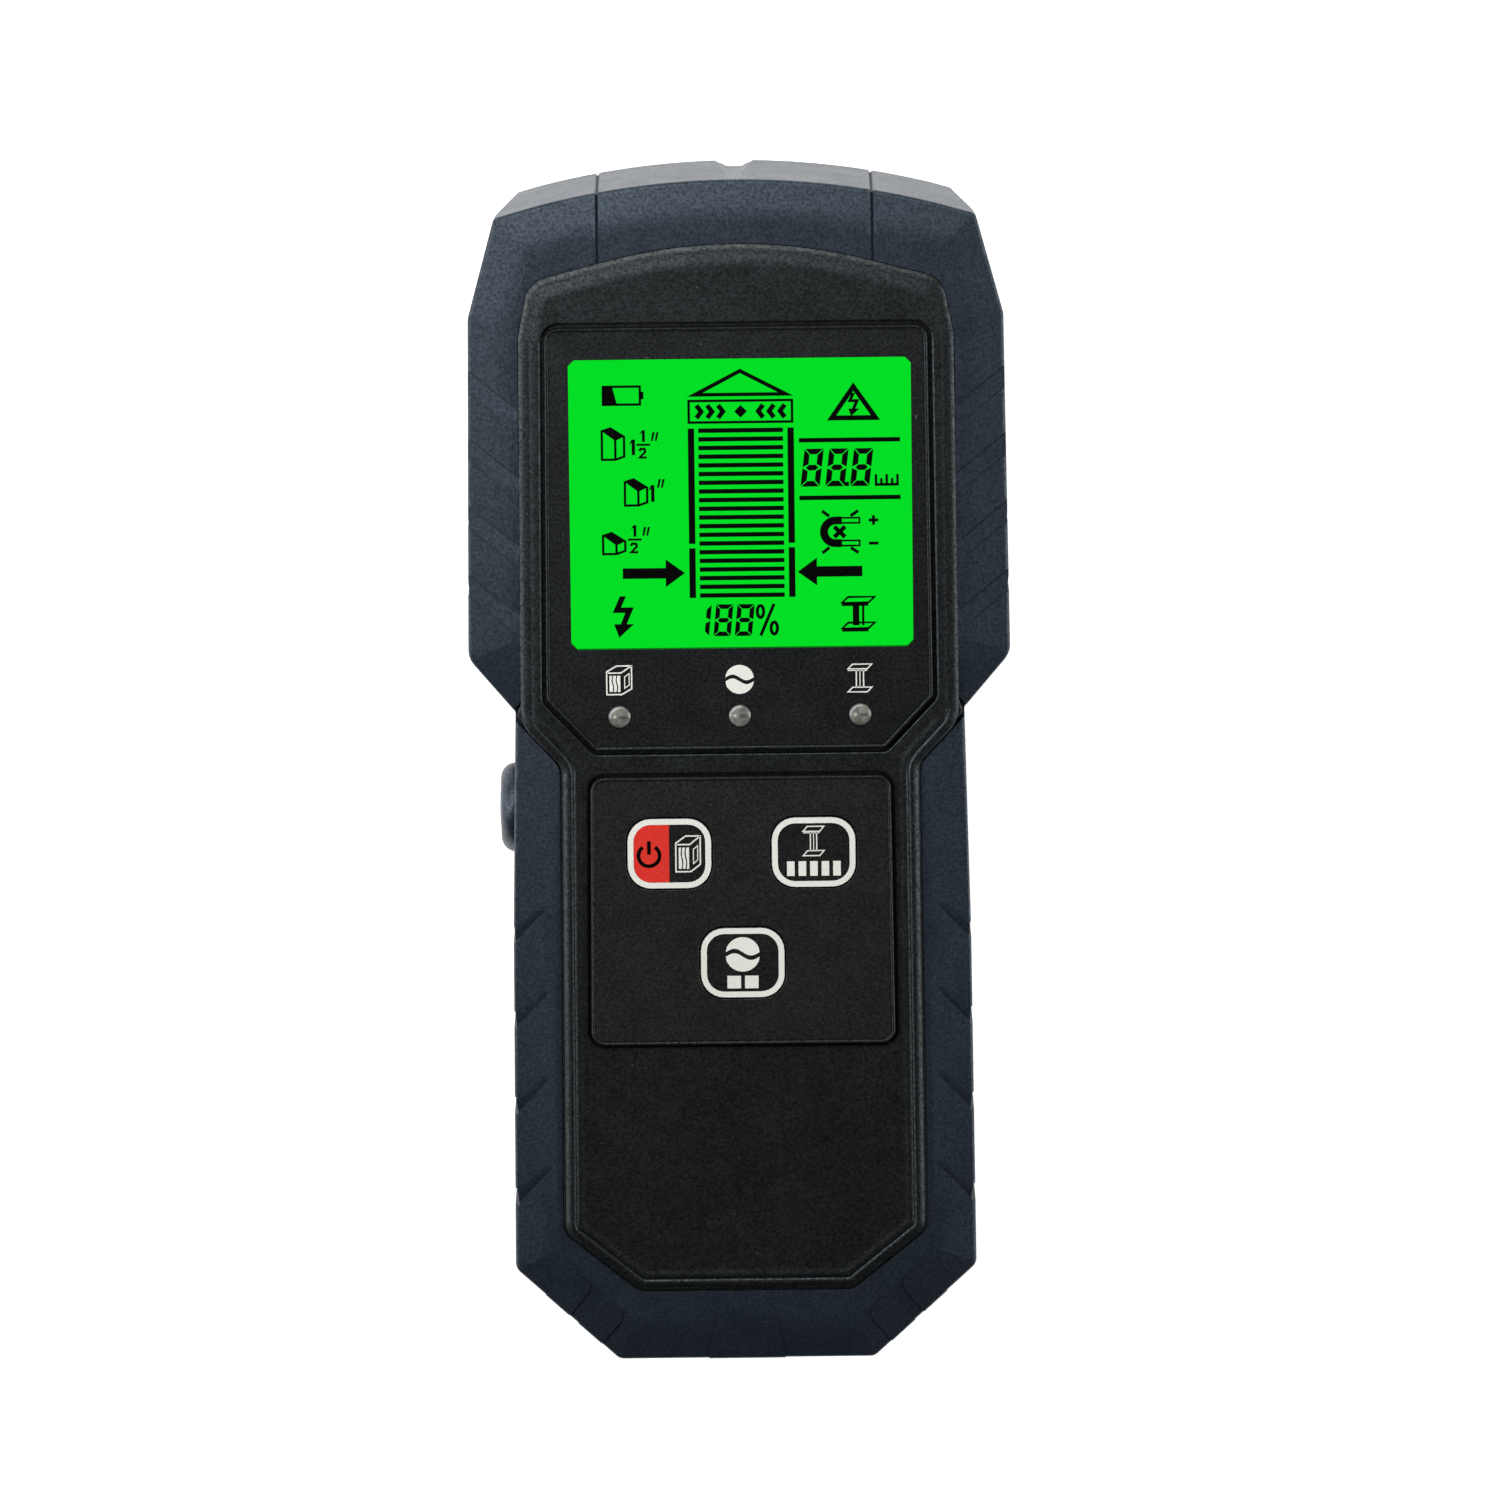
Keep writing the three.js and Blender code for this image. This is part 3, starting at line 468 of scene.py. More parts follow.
def make_materials():
    cool = (0.86, 0.95, 1.0)
    blue = (0.7, 0.86, 1.0)
    surface("housing", (0.0024, 0.0027, 0.003), 0.43, grain=0.26, depth=0.01, pebble=0.3, pebble_depth=0.012,
            dust=0.3, specular=0.54, tint=cool)
    surface("armour", (0.0075, 0.0112, 0.0175), 0.46, grain=0.26, depth=0.012, mottle=0.06, dust=0.2,
            specular=0.6, tint=blue)
    surface("button_rubber", (0.0072, 0.0108, 0.0165), 0.4, depth=0.012, mottle=0.06, dust=0.15,
            specular=0.62, tint=blue)
    surface("display_lens", (0.0024, 0.0026, 0.0028), 0.41, grain=0.24, depth=0.008, pebble=0.3,
            pebble_depth=0.012, specular=0.54, dust=0.25, tint=cool)
    surface("key_panel", (0.005, 0.0046, 0.0045), 0.45, grain=0.26, depth=0.01, pebble=0.3,
            pebble_depth=0.014, dust=0.2)
    surface("key", (0.004, 0.0038, 0.0038), 0.42, grain=0.26, depth=0.007, pebble=0.38, pebble_depth=0.02,
            dust=0.15)
    surface("power_key", (0.67, 0.026, 0.015), 0.45, grain=0.2, pebble=0.38, pebble_depth=0.012, mottle=0.04)
    surface("print_pale", (0.77, 0.765, 0.71), 0.5, grain=0.22, depth=0.008, mottle=0.05)
    surface("print_black", (0.0015, 0.0015, 0.0015), 0.75, grain=0.2, depth=0.002, mottle=0.1, specular=0.02)
    surface("switch", (0.5, 0.51, 0.52), 0.3, metal=1.0, mottle=0.05, streak=(1, 0.05, 1))
    surface("backlight", (0.8, 0.82, 0.78), 0.4, mottle=0.02)
    surface("white_plastic", (0.7, 0.7, 0.66), 0.45, mottle=0.04, pebble=0.5, pebble_depth=0.01)
    surface("black_rubber", (0.014, 0.014, 0.014), 0.7, grain=0.2, depth=0.02)
    surface("black_lead", (0.012, 0.012, 0.012), 0.4, depth=0.01)
    surface("red_lead", (0.5, 0.012, 0.01), 0.4, depth=0.01, mottle=0.06)
    surface("black_component", (0.012, 0.012, 0.013), 0.5, grain=0.1, depth=0.008)
    surface("capacitor", (0.012, 0.02, 0.06), 0.3, mottle=0.05, coat=0.3)
    surface("bright_metal", (0.68, 0.68, 0.69), 0.25, metal=1.0, mottle=0.04, streak=(0.05, 1, 1))
    surface("screw_steel", (0.42, 0.42, 0.43), 0.32, metal=1.0, mottle=0.1, grain=0.2, depth=0.006,
            rough_spread=0.1)
    surface("copper", (0.72, 0.28, 0.12), 0.32, metal=1.0, mottle=0.12, streak=(1, 1, 0.1))
    surface("battery", (0.07, 0.078, 0.088), 0.34, metal=0.6, mottle=0.06, streak=(1, 0.05, 1))
    surface("battery_band", (0.62, 0.33, 0.05), 0.32, metal=0.7, mottle=0.06, streak=(1, 0.05, 1))
    lcd_material()
    window_material()
    light_material()
    felt_material()
    board_material()


make_materials()


# ------------------------------------------------------------------ the tool's outer form
def beyond_plane(side, depth):
    """A block beyond the plane that cuts back the sensing end's corner, moved inwards by depth."""
    a = Vector((side * 30.3, TOP - 4.8, Z_ARMOUR))
    b = Vector((side * 33.3, 57.4, Z_ARMOUR))
    c = Vector((side * 26.4, TOP - 3.5, Z_BACK))
    normal = (b - a).cross(c - a).normalized()
    if normal.x * side < 0:
        normal.negate()
    half = 40
    bm = bmesh.new()
    bmesh.ops.create_cube(bm, size=2 * half)
    turn = Vector((0, 0, 1)).rotation_difference(normal).to_matrix().to_4x4()
    place = Matrix.Translation(a - normal * depth) @ turn @ Matrix.Translation((0, 0, half))
    bmesh.ops.transform(bm, matrix=place, verts=bm.verts)
    return mesh_object("corner", bm)


def body_solid(name, depth, profile):
    """A loft of the body's outline, with the sensing end's corners cut back."""
    solid = loft(name, BODY, [(depth + d, z) for d, z in profile])
    return cut(solid, beyond_plane(1, depth), beyond_plane(-1, depth))


# ------------------------------------------------------------------ front housing
FIELD_INSET = 2.7
GLASS_MIDDLE = (GLASS_LOW + GLASS_HIGH) / 2
VIEW_X = 0.4  # the visible part of the display stands a little to the right
LED_PLACES = {name: middle_mm(name) for name in ("stud_light", "ac_light", "metal_light")}
KEY_PLACES = {name: middle_mm(name) for name in ("power_key", "metal_key", "ac_key")}


def ease(t):
    t = min(max(t, 0.0), 1.0)
    return t * t * (3 - 2 * t)


def face_height(d, handle):
    """The face's edge at inset d: a bead as high as handle on the handle, a soft slope round the display."""
    shoulder = 0.2 * math.sin(min(d / 0.6, 1.0) * math.pi / 2)
    head = Z_STRIP + 0.04 + shoulder + (Z_FACE - Z_STRIP - 0.24) * ease((d - 0.3) / 2.4)
    return lambda p: head + (Z_FACE + handle - head) * ease((11.0 - p.y) / 7.0)


def front_housing():
    beads = [(0.0, -0.3), (0.12, -0.14), (0.3, -0.02), (0.5, 0.07), (0.75, 0.13), (1.0, 0.13), (1.18, 0.07),
             (1.28, -0.03), (1.38, -0.03), (1.48, 0.04), (1.68, 0.1), (1.93, 0.1), (2.18, 0.05), (2.43, 0.0),
             (FIELD_INSET, -0.02)]
    profile = [(0.0, Z_STRIP - 0.6)] + [(d, face_height(d, h)) for d, h in beads]
    housing = loft("front_housing_shell", FACE, profile)
    strip = loft("strip", inset(STRIP, 0.04), rounded(Z_SEAT - 0.05, Z_STRIP, 0.1))
    shell = body_solid("shell", ARMOUR_THICK + 0.05, [(0.0, Z_PARTING), (0.0, Z_SEAT)])
    join(housing, strip, shell)
    cut(housing, body_solid("hollow", ARMOUR_THICK + WALL, [(0.0, Z_PARTING - 1), (0.0, Z_SEAT - 1.6)]))
    cut(housing, loft("roof", inset(FACE, 1.6), [(0.0, Z_SEAT - 2), (0.0, 24.5)]))
    for outline, plate, gap, drop in ((DISPLAY, LENS_LOW, 0.5, 0.1), (PANEL, PANEL_LOW, 0.3, 0.12)):
        seat = plate.z - 0.05
        cut(housing, loft("recess", outline, [
            (-0.05, seat), (-gap, seat), (-gap, Z_FACE - 2.5 * drop), (-gap - 0.06, Z_FACE - drop),
            (-gap - 0.25, Z_FACE), (-gap - 0.45, Z_FACE + 1)]))
    view = rectangle(21.7, 18.6, 0.5, VIEW_X, GLASS_MIDDLE.y)
    cut(housing, loft("view", view, [(0, CUT_LOW), (0, CUT_HIGH)]))
    for radius, places in ((1.57, LED_PLACES), (1.8, KEY_PLACES)):
        for place in places.values():
            cut(housing, rod("hole", radius, CUT_LOW, CUT_HIGH, above(place)))
    cut(housing, rod("bore", 3.2, -10, 10, sideways(-28, middle_mm("side_button"))))
    settle(housing, "body", "housing", ["front_housing"])


front_housing()


# ------------------------------------------------------------------ rubber armour
HEAD_SLOTS = [47.8, 39.3, 30.7, 22.0]  # y of each slot's lower edge at the armour's outer edge
GRIP_SLOTS = [-16.3, -27.1, -38.0, -49.6]  # y of each slot's inner end
SLOT_RISE = 2.2
GROOVE_X = 17.1  # where a groove crosses each side of the sensing end
SLOPE_END = 5.4  # how far the armour's front slopes up from its outer edge
SLOPE = 0.188


def armour_top(d):
    """The height of the armour's front at inset d from its outer edge."""
    return Z_ARMOUR + 0.27 - SLOPE * max(SLOPE_END - d, 0.0)


def ramp_slot(stations, across, normal, rise):
    """A slot that is deep along one edge and ramps up to the surface, through stations of (point, depth)."""
    across, normal = Vector(across).normalized(), Vector(normal)
    rings = []
    for point, depth in stations:
        deep = Vector(point)
        far = deep + across * rise
        rings.append([deep - normal * depth, deep + normal * 2, far + across * 0.6 + normal * 2,
                      far - normal * min(depth, 0.06)])
    bm = bmesh.new()
    add_loft(bm, rings)
    return mesh_object("slot", bm)


def slot_pair(side, inner, outer, edge, rise):
    """A slot across the armour's front that fades out inwards, and the groove that goes on down its side."""
    inner, outer = Vector((side * inner[0], inner[1])), Vector((side * outer[0], outer[1]))
    along = (outer - inner).normalized()
    across = Vector((-along.y, along.x, 0)) * side
    stations = []
    for t, depth in ((0.0, -0.1), (0.2, 0.2), (0.7, 0.25), (1.0, 0.28)):
        place = inner.lerp(outer, t)
        stations.append(((*place, armour_top(edge - abs(place.x))), depth))
    front = ramp_slot(stations, across, (0, 0, 1), rise)
    y = inner.y + (outer.y - inner.y) * (edge - abs(inner.x)) / (abs(outer.x) - abs(inner.x))
    levels = ((Z_ARMOUR + 1.0, 0.22), (22.5, 0.38), (16.5, 0.42), (13.0, 0.26), (11.0, -0.1))
    stations = [((side * edge, y, z), depth) for z, depth in levels]
    return front, ramp_slot(stations, (0, 1, 0), (side, 0, 0), rise)


def armour_edge(out=0.0, up=0.0):
    """The armour's section from its foot to the slope beside the seam, grown outwards and upwards."""
    edge = [(0.5, Z_SPLIT), (0.12, Z_SPLIT + 0.2)] + rounded(Z_SPLIT + 0.6, armour_top(0.5), 0.5, 6)
    edge += [(3.0, armour_top(3.0)), (SLOPE_END, armour_top(SLOPE_END))]
    return [(d - out, z + up) for d, z in edge]


def armour(name, gap):
    """One armour piece round the seam, with the given gap between its lip and the raised front."""
    skin = body_solid(name, 0.0, armour_edge())
    cut(skin, body_solid("inside", ARMOUR_THICK, [(0.0, 0), (0.0, Z_SEAT)]))
    top = armour_top(SLOPE_END)
    lip = [(0.0, Z_SEAT - 0.1), (0.0, top - gap), (-gap, top + 0.01), (-gap - 0.1, top + 3)]
    return cut(skin, loft("opening", SEAM, lip))


def v_groove(place, length, depth=0.38, width=0.55):
    section = [(0, -depth), (-width / 2, 0), (-width / 2 - 0.2, 2), (width / 2 + 0.2, 2), (width / 2, 0)]
    return prism("groove", section, length, place)


def notch():
    """The marking notch in the sensing end, deepest at the back and gone half way up."""
    depth, top = 1.0, 19.0
    lean = math.atan(depth / (top - Z_SPLIT))
    section = [(-0.9, 0), (-2.5, depth), (-2.5, 5), (2.5, 5), (2.5, depth), (0.9, 0)]
    place = Matrix.Translation((0, TOP - depth, Z_SPLIT)) @ Matrix.Rotation(-math.pi / 2 - lean, 4, "X")
    return prism("notch", section, 60, place)


def head_armour():
    head = armour("head_armour_skin", 0.03)
    for side in (1, -1):
        for y in HEAD_SLOTS:
            cut(head, *slot_pair(side, (27.6, y - 4.8), (36.5, y + 2.3), HEAD_HALF, SLOT_RISE))
        x, end_y = side * GROOVE_X, TOP - ARC_RADIUS + math.sqrt(ARC_RADIUS ** 2 - GROOVE_X ** 2)
        lean = side * math.asin(GROOVE_X / ARC_RADIUS)
        tilt = Matrix.Rotation(-math.atan(SLOPE), 4, "X")
        slope = Matrix.Translation((x, end_y - 2, armour_top(2))) @ tilt
        level = Matrix.Translation((x, end_y - 9.5, armour_top(SLOPE_END)))
        cut(head, v_groove(slope, 7.2, 0.28, 0.42), v_groove(level, 8.4, 0.28, 0.42))
        end_face = Matrix.Translation((x, end_y, 15)) @ Matrix.Rotation(-lean, 4, "Z")
        cut(head, v_groove(end_face @ Matrix.Rotation(-math.pi / 2, 4, "X"), 40))
    cut(head, notch())
    cut(head, block("below", (-50, -90, 0), (50, NECK_Y + 0.12, 30)))
    settle(head, "body", "armour", ["head_armour"])


def raised_pad(corners):
    """A low pad with soft edges on the armour's front, which goes on over its edge and down its outside."""
    pad = loft("pad", corners, [(-0.25, Z_SPLIT + 3.0), (-0.25, Z_ARMOUR - 0.6), (0.1, Z_ARMOUR + 0.5)])
    combine(pad, body_solid("pad_form", 0.0, armour_edge(0.06, 0.2)), "INTERSECT")
    return cut(pad, body_solid("inside", ARMOUR_THICK - 0.2, [(0.0, 0), (0.0, Z_SEAT + 0.05)]))


def handle_armour():
    grip = armour("handle_armour_skin", 0.15)
    join(grip, raised_pad(mirrored([(3.5, -67.9, 1.3), (4.7, BOTTOM - 1, 0.0)])))
    for side in (1, -1):
        for y in GRIP_SLOTS:
            cut(grip, *slot_pair(side, (23.5, y), (29.9, y - 6.9), HANDLE_HALF, 2.1))
        along = Vector((-side * 0.735, -0.678))
        inward = Vector((-side * 0.678, 0.735))
        for start in ((24.9, -66.7), (20.8, -70.3)):
            foot = Vector((side * start[0], start[1])) - inward * 2
            corners = [foot, foot + inward * 6.8, foot + inward * 6.8 + along * 3.4, foot + along * 3.4]
            corners = [(*p, r) for p, r in zip(corners, (0.0, 1.2, 1.2, 0.0))]
            join(grip, raised_pad(corners if side < 0 else corners[::-1]))
    cut(grip, block("above", (-50, NECK_Y - 0.12, 0), (50, 90, 30)))
    low, high = cad_mm("side_button")
    radius = (high.z - low.z) / 2 + 0.16
    cut(grip, rod("bore", radius, -6, 6, sideways(-29, (low + high) / 2)))
    settle(grip, "body", "armour", ["handle_armour"])


head_armour()
handle_armour()


# ------------------------------------------------------------------ thin printed shapes
class Print:
    """Flat marks of one ink, a hundredth of a millimetre or two thick, on a surface at height z."""

    def __init__(self, z, thick=0.02):
        self.bm = bmesh.new()
        self.low = z
        self.high = z + thick

    def poly(self, points):
        add_loft(self.bm, [[(x, y, self.low) for x, y in points], [(x, y, self.high) for x, y in points]])

    def box(self, x0, y0, x1, y1):
        self.poly([(x0, y0), (x1, y0), (x1, y1), (x0, y1)])

    def band(self, outer, inner):
        """A closed band between two outlines with the same number of points."""
        count = len(outer)
        loops = []
        for points, z in ((outer, self.low), (outer, self.high), (inner, self.high), (inner, self.low)):
            loops.append([self.bm.verts.new((x, y, z)) for x, y in points])
        for a, b in zip(loops, loops[1:] + loops[:1]):
            for i in range(count):
                j = (i + 1) % count
                self.bm.faces.new((a[i], a[j], b[j], b[i]))

    def line(self, points, width, closed=False):
        """A pen line of the given width through points, with mitred corners."""
        points = [Vector(p) for p in points]
        ways = [(b - a).normalized() for a, b in zip(points, points[1:] + points[:1])]
        sides = []
        for i in range(len(points)):
            a = ways[i - 1] if closed or i else ways[0]
            b = ways[i] if closed or i < len(points) - 1 else a
            spread = max(1 + a.dot(b), 0.35)
            sides.append(Vector((a.y + b.y, -a.x - b.x)) / spread * (width / 2))
        left = [tuple(p - s) for p, s in zip(points, sides)]
        right = [tuple(p + s) for p, s in zip(points, sides)]
        if closed:
            self.band(left, right)
        else:
            self.poly(left + right[::-1])

    def ring(self, x, y, radius, width, start=0.0, end=360.0, steps=28):
        turns = [math.radians(start + (end - start) * i / steps) for i in range(steps + 1)]
        points = [(x + radius * math.cos(t), y + radius * math.sin(t)) for t in turns]
        if end - start >= 360:
            self.line(points[:-1], width, True)
        else:
            self.line(points, width)

    def digit(self, segments, x, y, width, height, stroke, slant=0.1):
        """A seven-segment digit: segments are letters a to g, and x, y is its lower left corner."""
        gap = stroke * 0.12
        half = height / 2
        skew = lambda px, py: (x + px + slant * py, y + py)
        across = [(gap, 0), (width - gap, 0), (width - stroke - gap, stroke), (stroke + gap, stroke)]
        upright = [(0, gap), (stroke, stroke + gap), (stroke, half - stroke / 2 - gap), (0, half - gap)]
        shapes = {
            "d": across, "a": [(px, height - py) for px, py in across],
            "g": [(stroke * 0.6, half), (stroke + gap, half - stroke / 2),
                  (width - stroke - gap, half - stroke / 2), (width - stroke * 0.6, half),
                  (width - stroke - gap, half + stroke / 2), (stroke + gap, half + stroke / 2)],
            "e": upright, "f": [(px, height - py) for px, py in upright],
            "c": [(width - px, py) for px, py in upright],
            "b": [(width - px, height - py) for px, py in upright]}
        for letter in segments:
            self.poly([skew(px, py) for px, py in shapes[letter]])

    def done(self, name, body, material):
        settle(mesh_object(name, self.bm), body, material, sharp=20)


def plus(ink, x, y, half, arm):
    """A plus sign as one outline."""
    quarter = [(arm, half), (arm, arm), (half, arm)]
    corners = []
    for _ in range(4):
        corners += [(x + px, y + py) for px, py in quarter]
        quarter = [(py, -px) for px, py in quarter]
    ink.poly(corners)


def wave_disc(ink, x, y, radius, gap):
    """A disc parted by a wave: the sign for alternating current."""
    steps = 24
    for side in (1, -1):
        wave = []
        for i in range(steps + 1):
            u = -1 + 2 * i / steps
            wave.append((x + u * radius * 0.97, y + side * gap / 2 - 0.2 * radius * math.sin(math.pi * u)))
        turns = [math.pi * i / steps for i in range(1, steps)]
        rim = [(x + radius * math.cos(t), y + side * radius * math.sin(t)) for t in turns]
        rim = [p for p in rim if side * (p[1] - y) > radius * 0.16 + gap / 2]
        ink.poly(wave + rim)


def timber(ink, x, y, width, height, stroke):
    """A sawn timber in perspective from its lower left corner: outline, grained front and framed side."""
    front, lift = width * 0.6, height * 0.2
    top = y + height - lift
    ink.line([(x, y), (x + front, y), (x + width, y + lift), (x + width, y + height),
              (x + width - front, y + height), (x, top)], stroke, True)
    ink.line([(x + stroke, top - stroke), (x + front - stroke / 2, top - stroke), (x + width, y + height)],
             stroke)
    left, right = x + 2 * stroke, x + front - stroke
    gap = 0.9 * stroke
    pitch = (right - left + gap) / 3
    steps = 10
    for i in range(3):
        sides = []
        for edge in (left + pitch * i, left + pitch * (i + 1) - gap):
            bend = 0.0 if edge in (left, left + 3 * pitch - gap) else 0.03 * width
            points = []
            for k in range(steps + 1):
                rise = k / steps
                points.append((edge + bend * math.sin(2 * math.pi * rise),
                               y + 2 * stroke + (height - lift - 5 * stroke) * rise))
            sides.append(points)
        ink.poly(sides[0] + sides[1][::-1])
    near, far = x + front + (width - front) * 0.3, x + width - 1.8 * stroke
    drop = lift * 0.55
    ink.line([(near, y + height * 0.22), (far, y + height * 0.22 + drop), (far, y + height * 0.62 + drop),
              (near, y + height * 0.62)], stroke * 0.7, True)


def girder(ink, x, y, width, height, stroke):
    """An I-section girder drawn in perspective, centred on x, y."""
    half, tall, flange, web = width / 2, height / 2, height * 0.17, width * 0.15
    skew = width * 0.2
    top = [(x - half, y + tall - flange), (x + half - skew, y + tall - flange), (x + half, y + tall),
           (x - half + skew, y + tall)]
    foot = [(px, py - height + flange) for px, py in top]
    ink.line(top, stroke, True)
    ink.line(foot, stroke, True)
    ink.box(x - half, y + tall - flange - 1.6 * stroke, x + half - skew, y + tall - flange - 0.9 * stroke)
    for side in (-1, 1):
        ink.line([(x + side * web, y + tall - flange - stroke), (x + side * web, y - tall + flange)], stroke)
    ink.box(x - stroke * 0.35, y - tall + flange, x + stroke * 0.35, y + tall - flange - stroke)


# ------------------------------------------------------------------ display
VIEW_HALF = Vector((21.3, 18.2))
VIEW_CHAMFER = 0.75
BAR_COUNT = 20


def lens():
    z = Z_LENS
    lip = [(0.0, LENS_LOW.z), (0.0, z - 0.2), (0.05, z - 0.08), (0.16, z), (0.34, z), (0.44, z - 0.05),
           (0.48, z - 0.12), (0.56, z - 0.12), (0.62, z - 0.04)]
    sheet = loft("display_lens_sheet", DISPLAY, lip)
    window = rectangle(*VIEW_HALF, VIEW_CHAMFER, VIEW_X, GLASS_MIDDLE.y)
    cut(sheet, loft("window", window, [(0, CUT_LOW), (0, CUT_HIGH)], steps=1))
    rim = [(0, CUT_LOW), (1.46, CUT_LOW), (1.46, z - 0.14), (1.6, z + 0.2), (0, z + 0.2)]
    for place in LED_PLACES.values():
        cut(sheet, turned("hole", rim, above(place)))
    settle(sheet, "body", "display_lens", ["display_lens"])
    window = rectangle(VIEW_HALF.x - 0.02, VIEW_HALF.y - 0.02, VIEW_CHAMFER, VIEW_X, GLASS_MIDDLE.y)
    pane = loft("display_window", window, [(0, LENS_LOW.z + 0.1), (0, z - 0.05)], steps=1)
    settle(pane, "body", "lens_window")


def lcd():
    cy = GLASS_MIDDLE.y
    glass = loft("lcd_panel", rectangle(23.0, 20.7, 0.3, 0, cy), [(0, GLASS_LOW.z), (0, GLASS_HIGH.z)])
    settle(glass, "body", "lcd", ["lcd_glass"])
    ink = Print(GLASS_HIGH.z)
    battery_sign(ink, -17.0, cy + 12.3)
    for x, y, height in ((-17.2, 5.4, 3.7), (-14.4, -0.38, 3.05), (-17.2, -6.46, 2.4)):
        lcd_timber(ink, x, cy + y, height)
    depth_marks(ink, cy)
    arrow(ink, -14.8, -7.05, cy - 8.95)
    arrow(ink, 15.05, 7.0, cy - 8.95)
    bolt(ink, -14.8, cy - 14.4, 2.65, 5.2)
    centre_column(ink, cy)
    for x, segments in ((-6.3, "bc"), (-3.6, "abcdefg"), (-0.95, "abcdefg")):
        ink.digit(segments, x, cy - 16.95, 2.15, 4.0, 0.57)
    percent(ink, 3.05, cy - 14.95)
    warning(ink, 14.15, cy + 10.0, 6.7, 5.0)
    ink.box(7.3, cy + 7.3, 19.9, cy + 7.85)
    ink.box(7.3, cy + 0.05, 19.9, cy + 0.6)
    for i in range(3):
        ink.digit("abcdefg", 7.45 + 3.08 * i, cy + 1.75, 2.4, 4.75, 0.7, 0.12)
    ink.box(12.95, cy + 1.75, 13.5, cy + 2.3)
    unit_mark(ink, 16.7, cy + 1.75)
    magnet(ink, 11.75, cy - 3.98)
    lcd_girder(ink, 14.5, cy - 14.35, 4.1, 4.3)
    bmesh.ops.translate(ink.bm, vec=(VIEW_X, 0, 0), verts=ink.bm.verts)
    ink.done("lcd_segments", "body", "print_black")


def battery_sign(ink, x, y):
    wide, tall, pen = 4.6, 2.25, 0.3
    ink.line([(x, y), (x + wide, y), (x + wide, y + tall), (x, y + tall)], pen, True)
    ink.poly([(x, y), (x + 1.75, y), (x + 1.15, y + tall), (x, y + tall)])
    ink.box(x + wide, y + 0.65, x + wide + 0.45, y + tall - 0.65)


def lcd_timber(ink, x, y, height):
    """A timber with a black top: two faces below a roof whose near corner is lower than its ends."""
    pen = 0.3
    left, near, right, back = (0, height), (1.66, height - 1.19), (2.76, height - 0.76), (1.1, height + 0.4)
    foot = [(0, 0), (1.66, 0), (2.76, 0.38)]
    place = lambda points: [(x + px, y + py) for px, py in points]
    ink.line(place([left, foot[0], foot[1], foot[2], right]), pen)
    ink.line(place([foot[1], near]), pen)
    ink.poly(place([(left[0] - pen / 2, left[1]), (near[0], near[1] - pen / 2),
                    (right[0] + pen / 2, right[1]), back]))


def depth_marks(ink, cy):
    """Depth marks beside the timbers: one and a half, one, and a half."""
    one(ink, -13.8, cy + 5.95, 1.95)
    half_sign(ink, -12.3, cy + 5.5)
    ticks(ink, -11.1, cy + 7.7)
    one(ink, -11.45, cy + 0.05, 2.1)
    ticks(ink, -10.4, cy + 1.8)
    half_sign(ink, -13.5, cy - 6.4)
    ticks(ink, -12.3, cy - 4.2)


def one(ink, x, y, height, pen=0.42):
    ink.box(x + 0.3, y, x + 0.3 + pen, y + height)
    ink.poly([(x - 0.05, y + height * 0.66), (x + 0.31, y + height * 0.78), (x + 0.31, y + height)])


def half_sign(ink, x, y):
    one(ink, x - 0.2, y + 2.1, 1.45, 0.36)
    ink.box(x - 0.6, y + 1.6, x + 1.1, y + 1.86)
    ink.line([(x - 0.25, y + 0.95), (x - 0.08, y + 1.22), (x + 0.4, y + 1.2), (x + 0.5, y + 0.85),
              (x - 0.2, y + 0.14), (x + 0.65, y + 0.14)], 0.3)


def ticks(ink, x, y):
    for left in (x, x + 0.48):
        ink.poly([(left, y), (left + 0.24, y), (left + 0.5, y + 1.1), (left + 0.2, y + 1.1)])


def arrow(ink, tail, tip, y):
    way = 1 if tip > tail else -1
    neck = tip - way * 2.4
    ink.box(min(tail, neck), y - 0.66, max(tail, neck), y + 0.66)
    ink.poly([(neck, y - 1.75), (tip, y), (neck, y + 1.75)])


def bolt(ink, x, y, width, height):
    """A lightning bolt that ends in an arrowhead."""
    shape = [(-0.15, 0.5), (0.14, 0.5), (-0.1, 0.23), (0.5, 0.23), (0.16, -0.175), (0.5, -0.175),
             (-0.2, -0.5), (-0.44, -0.175), (-0.125, -0.175), (0.09, 0.1), (-0.5, 0.1)]
    ink.poly([(x + px * width, y + py * height) for px, py in shape])


def centre_column(ink, cy):
    """The target column: a roof, a framed title bar, a ladder of level bars and its two side rails."""
    ink.band([(-6.55, cy + 13.2), (0.07, cy + 16.65), (6.7, cy + 13.2)],
             [(-4.6, cy + 13.65), (0.07, cy + 16.1), (4.75, cy + 13.65)])
    ink.line([(-6.35, cy + 9.95), (6.5, cy + 9.95), (6.5, cy + 12.65), (-6.35, cy + 12.65)], 0.32, True)
    ink.poly([(-0.7, cy + 11.3), (0.1, cy + 10.5), (0.9, cy + 11.3), (0.1, cy + 12.1)])
    for side in (1, -1):
        for i in range(3):
            x = 0.1 + side * (2.2 + 1.35 * i)
            ink.line([(x + side * 0.6, cy + 10.5), (x, cy + 11.3), (x + side * 0.6, cy + 12.1)], 0.6)
    pitch = 1.091
    for i in range(BAR_COUNT):
        top = cy + 9.2 - pitch * i
        ink.box(-5.2, top - 0.56, 5.35, top)
    for x in (-6.5, 5.9):
        ink.box(x, cy - 5.3, x + 0.8, cy + 9.2)
        ink.box(x, cy - 12.1, x + 0.8, cy - 5.85)


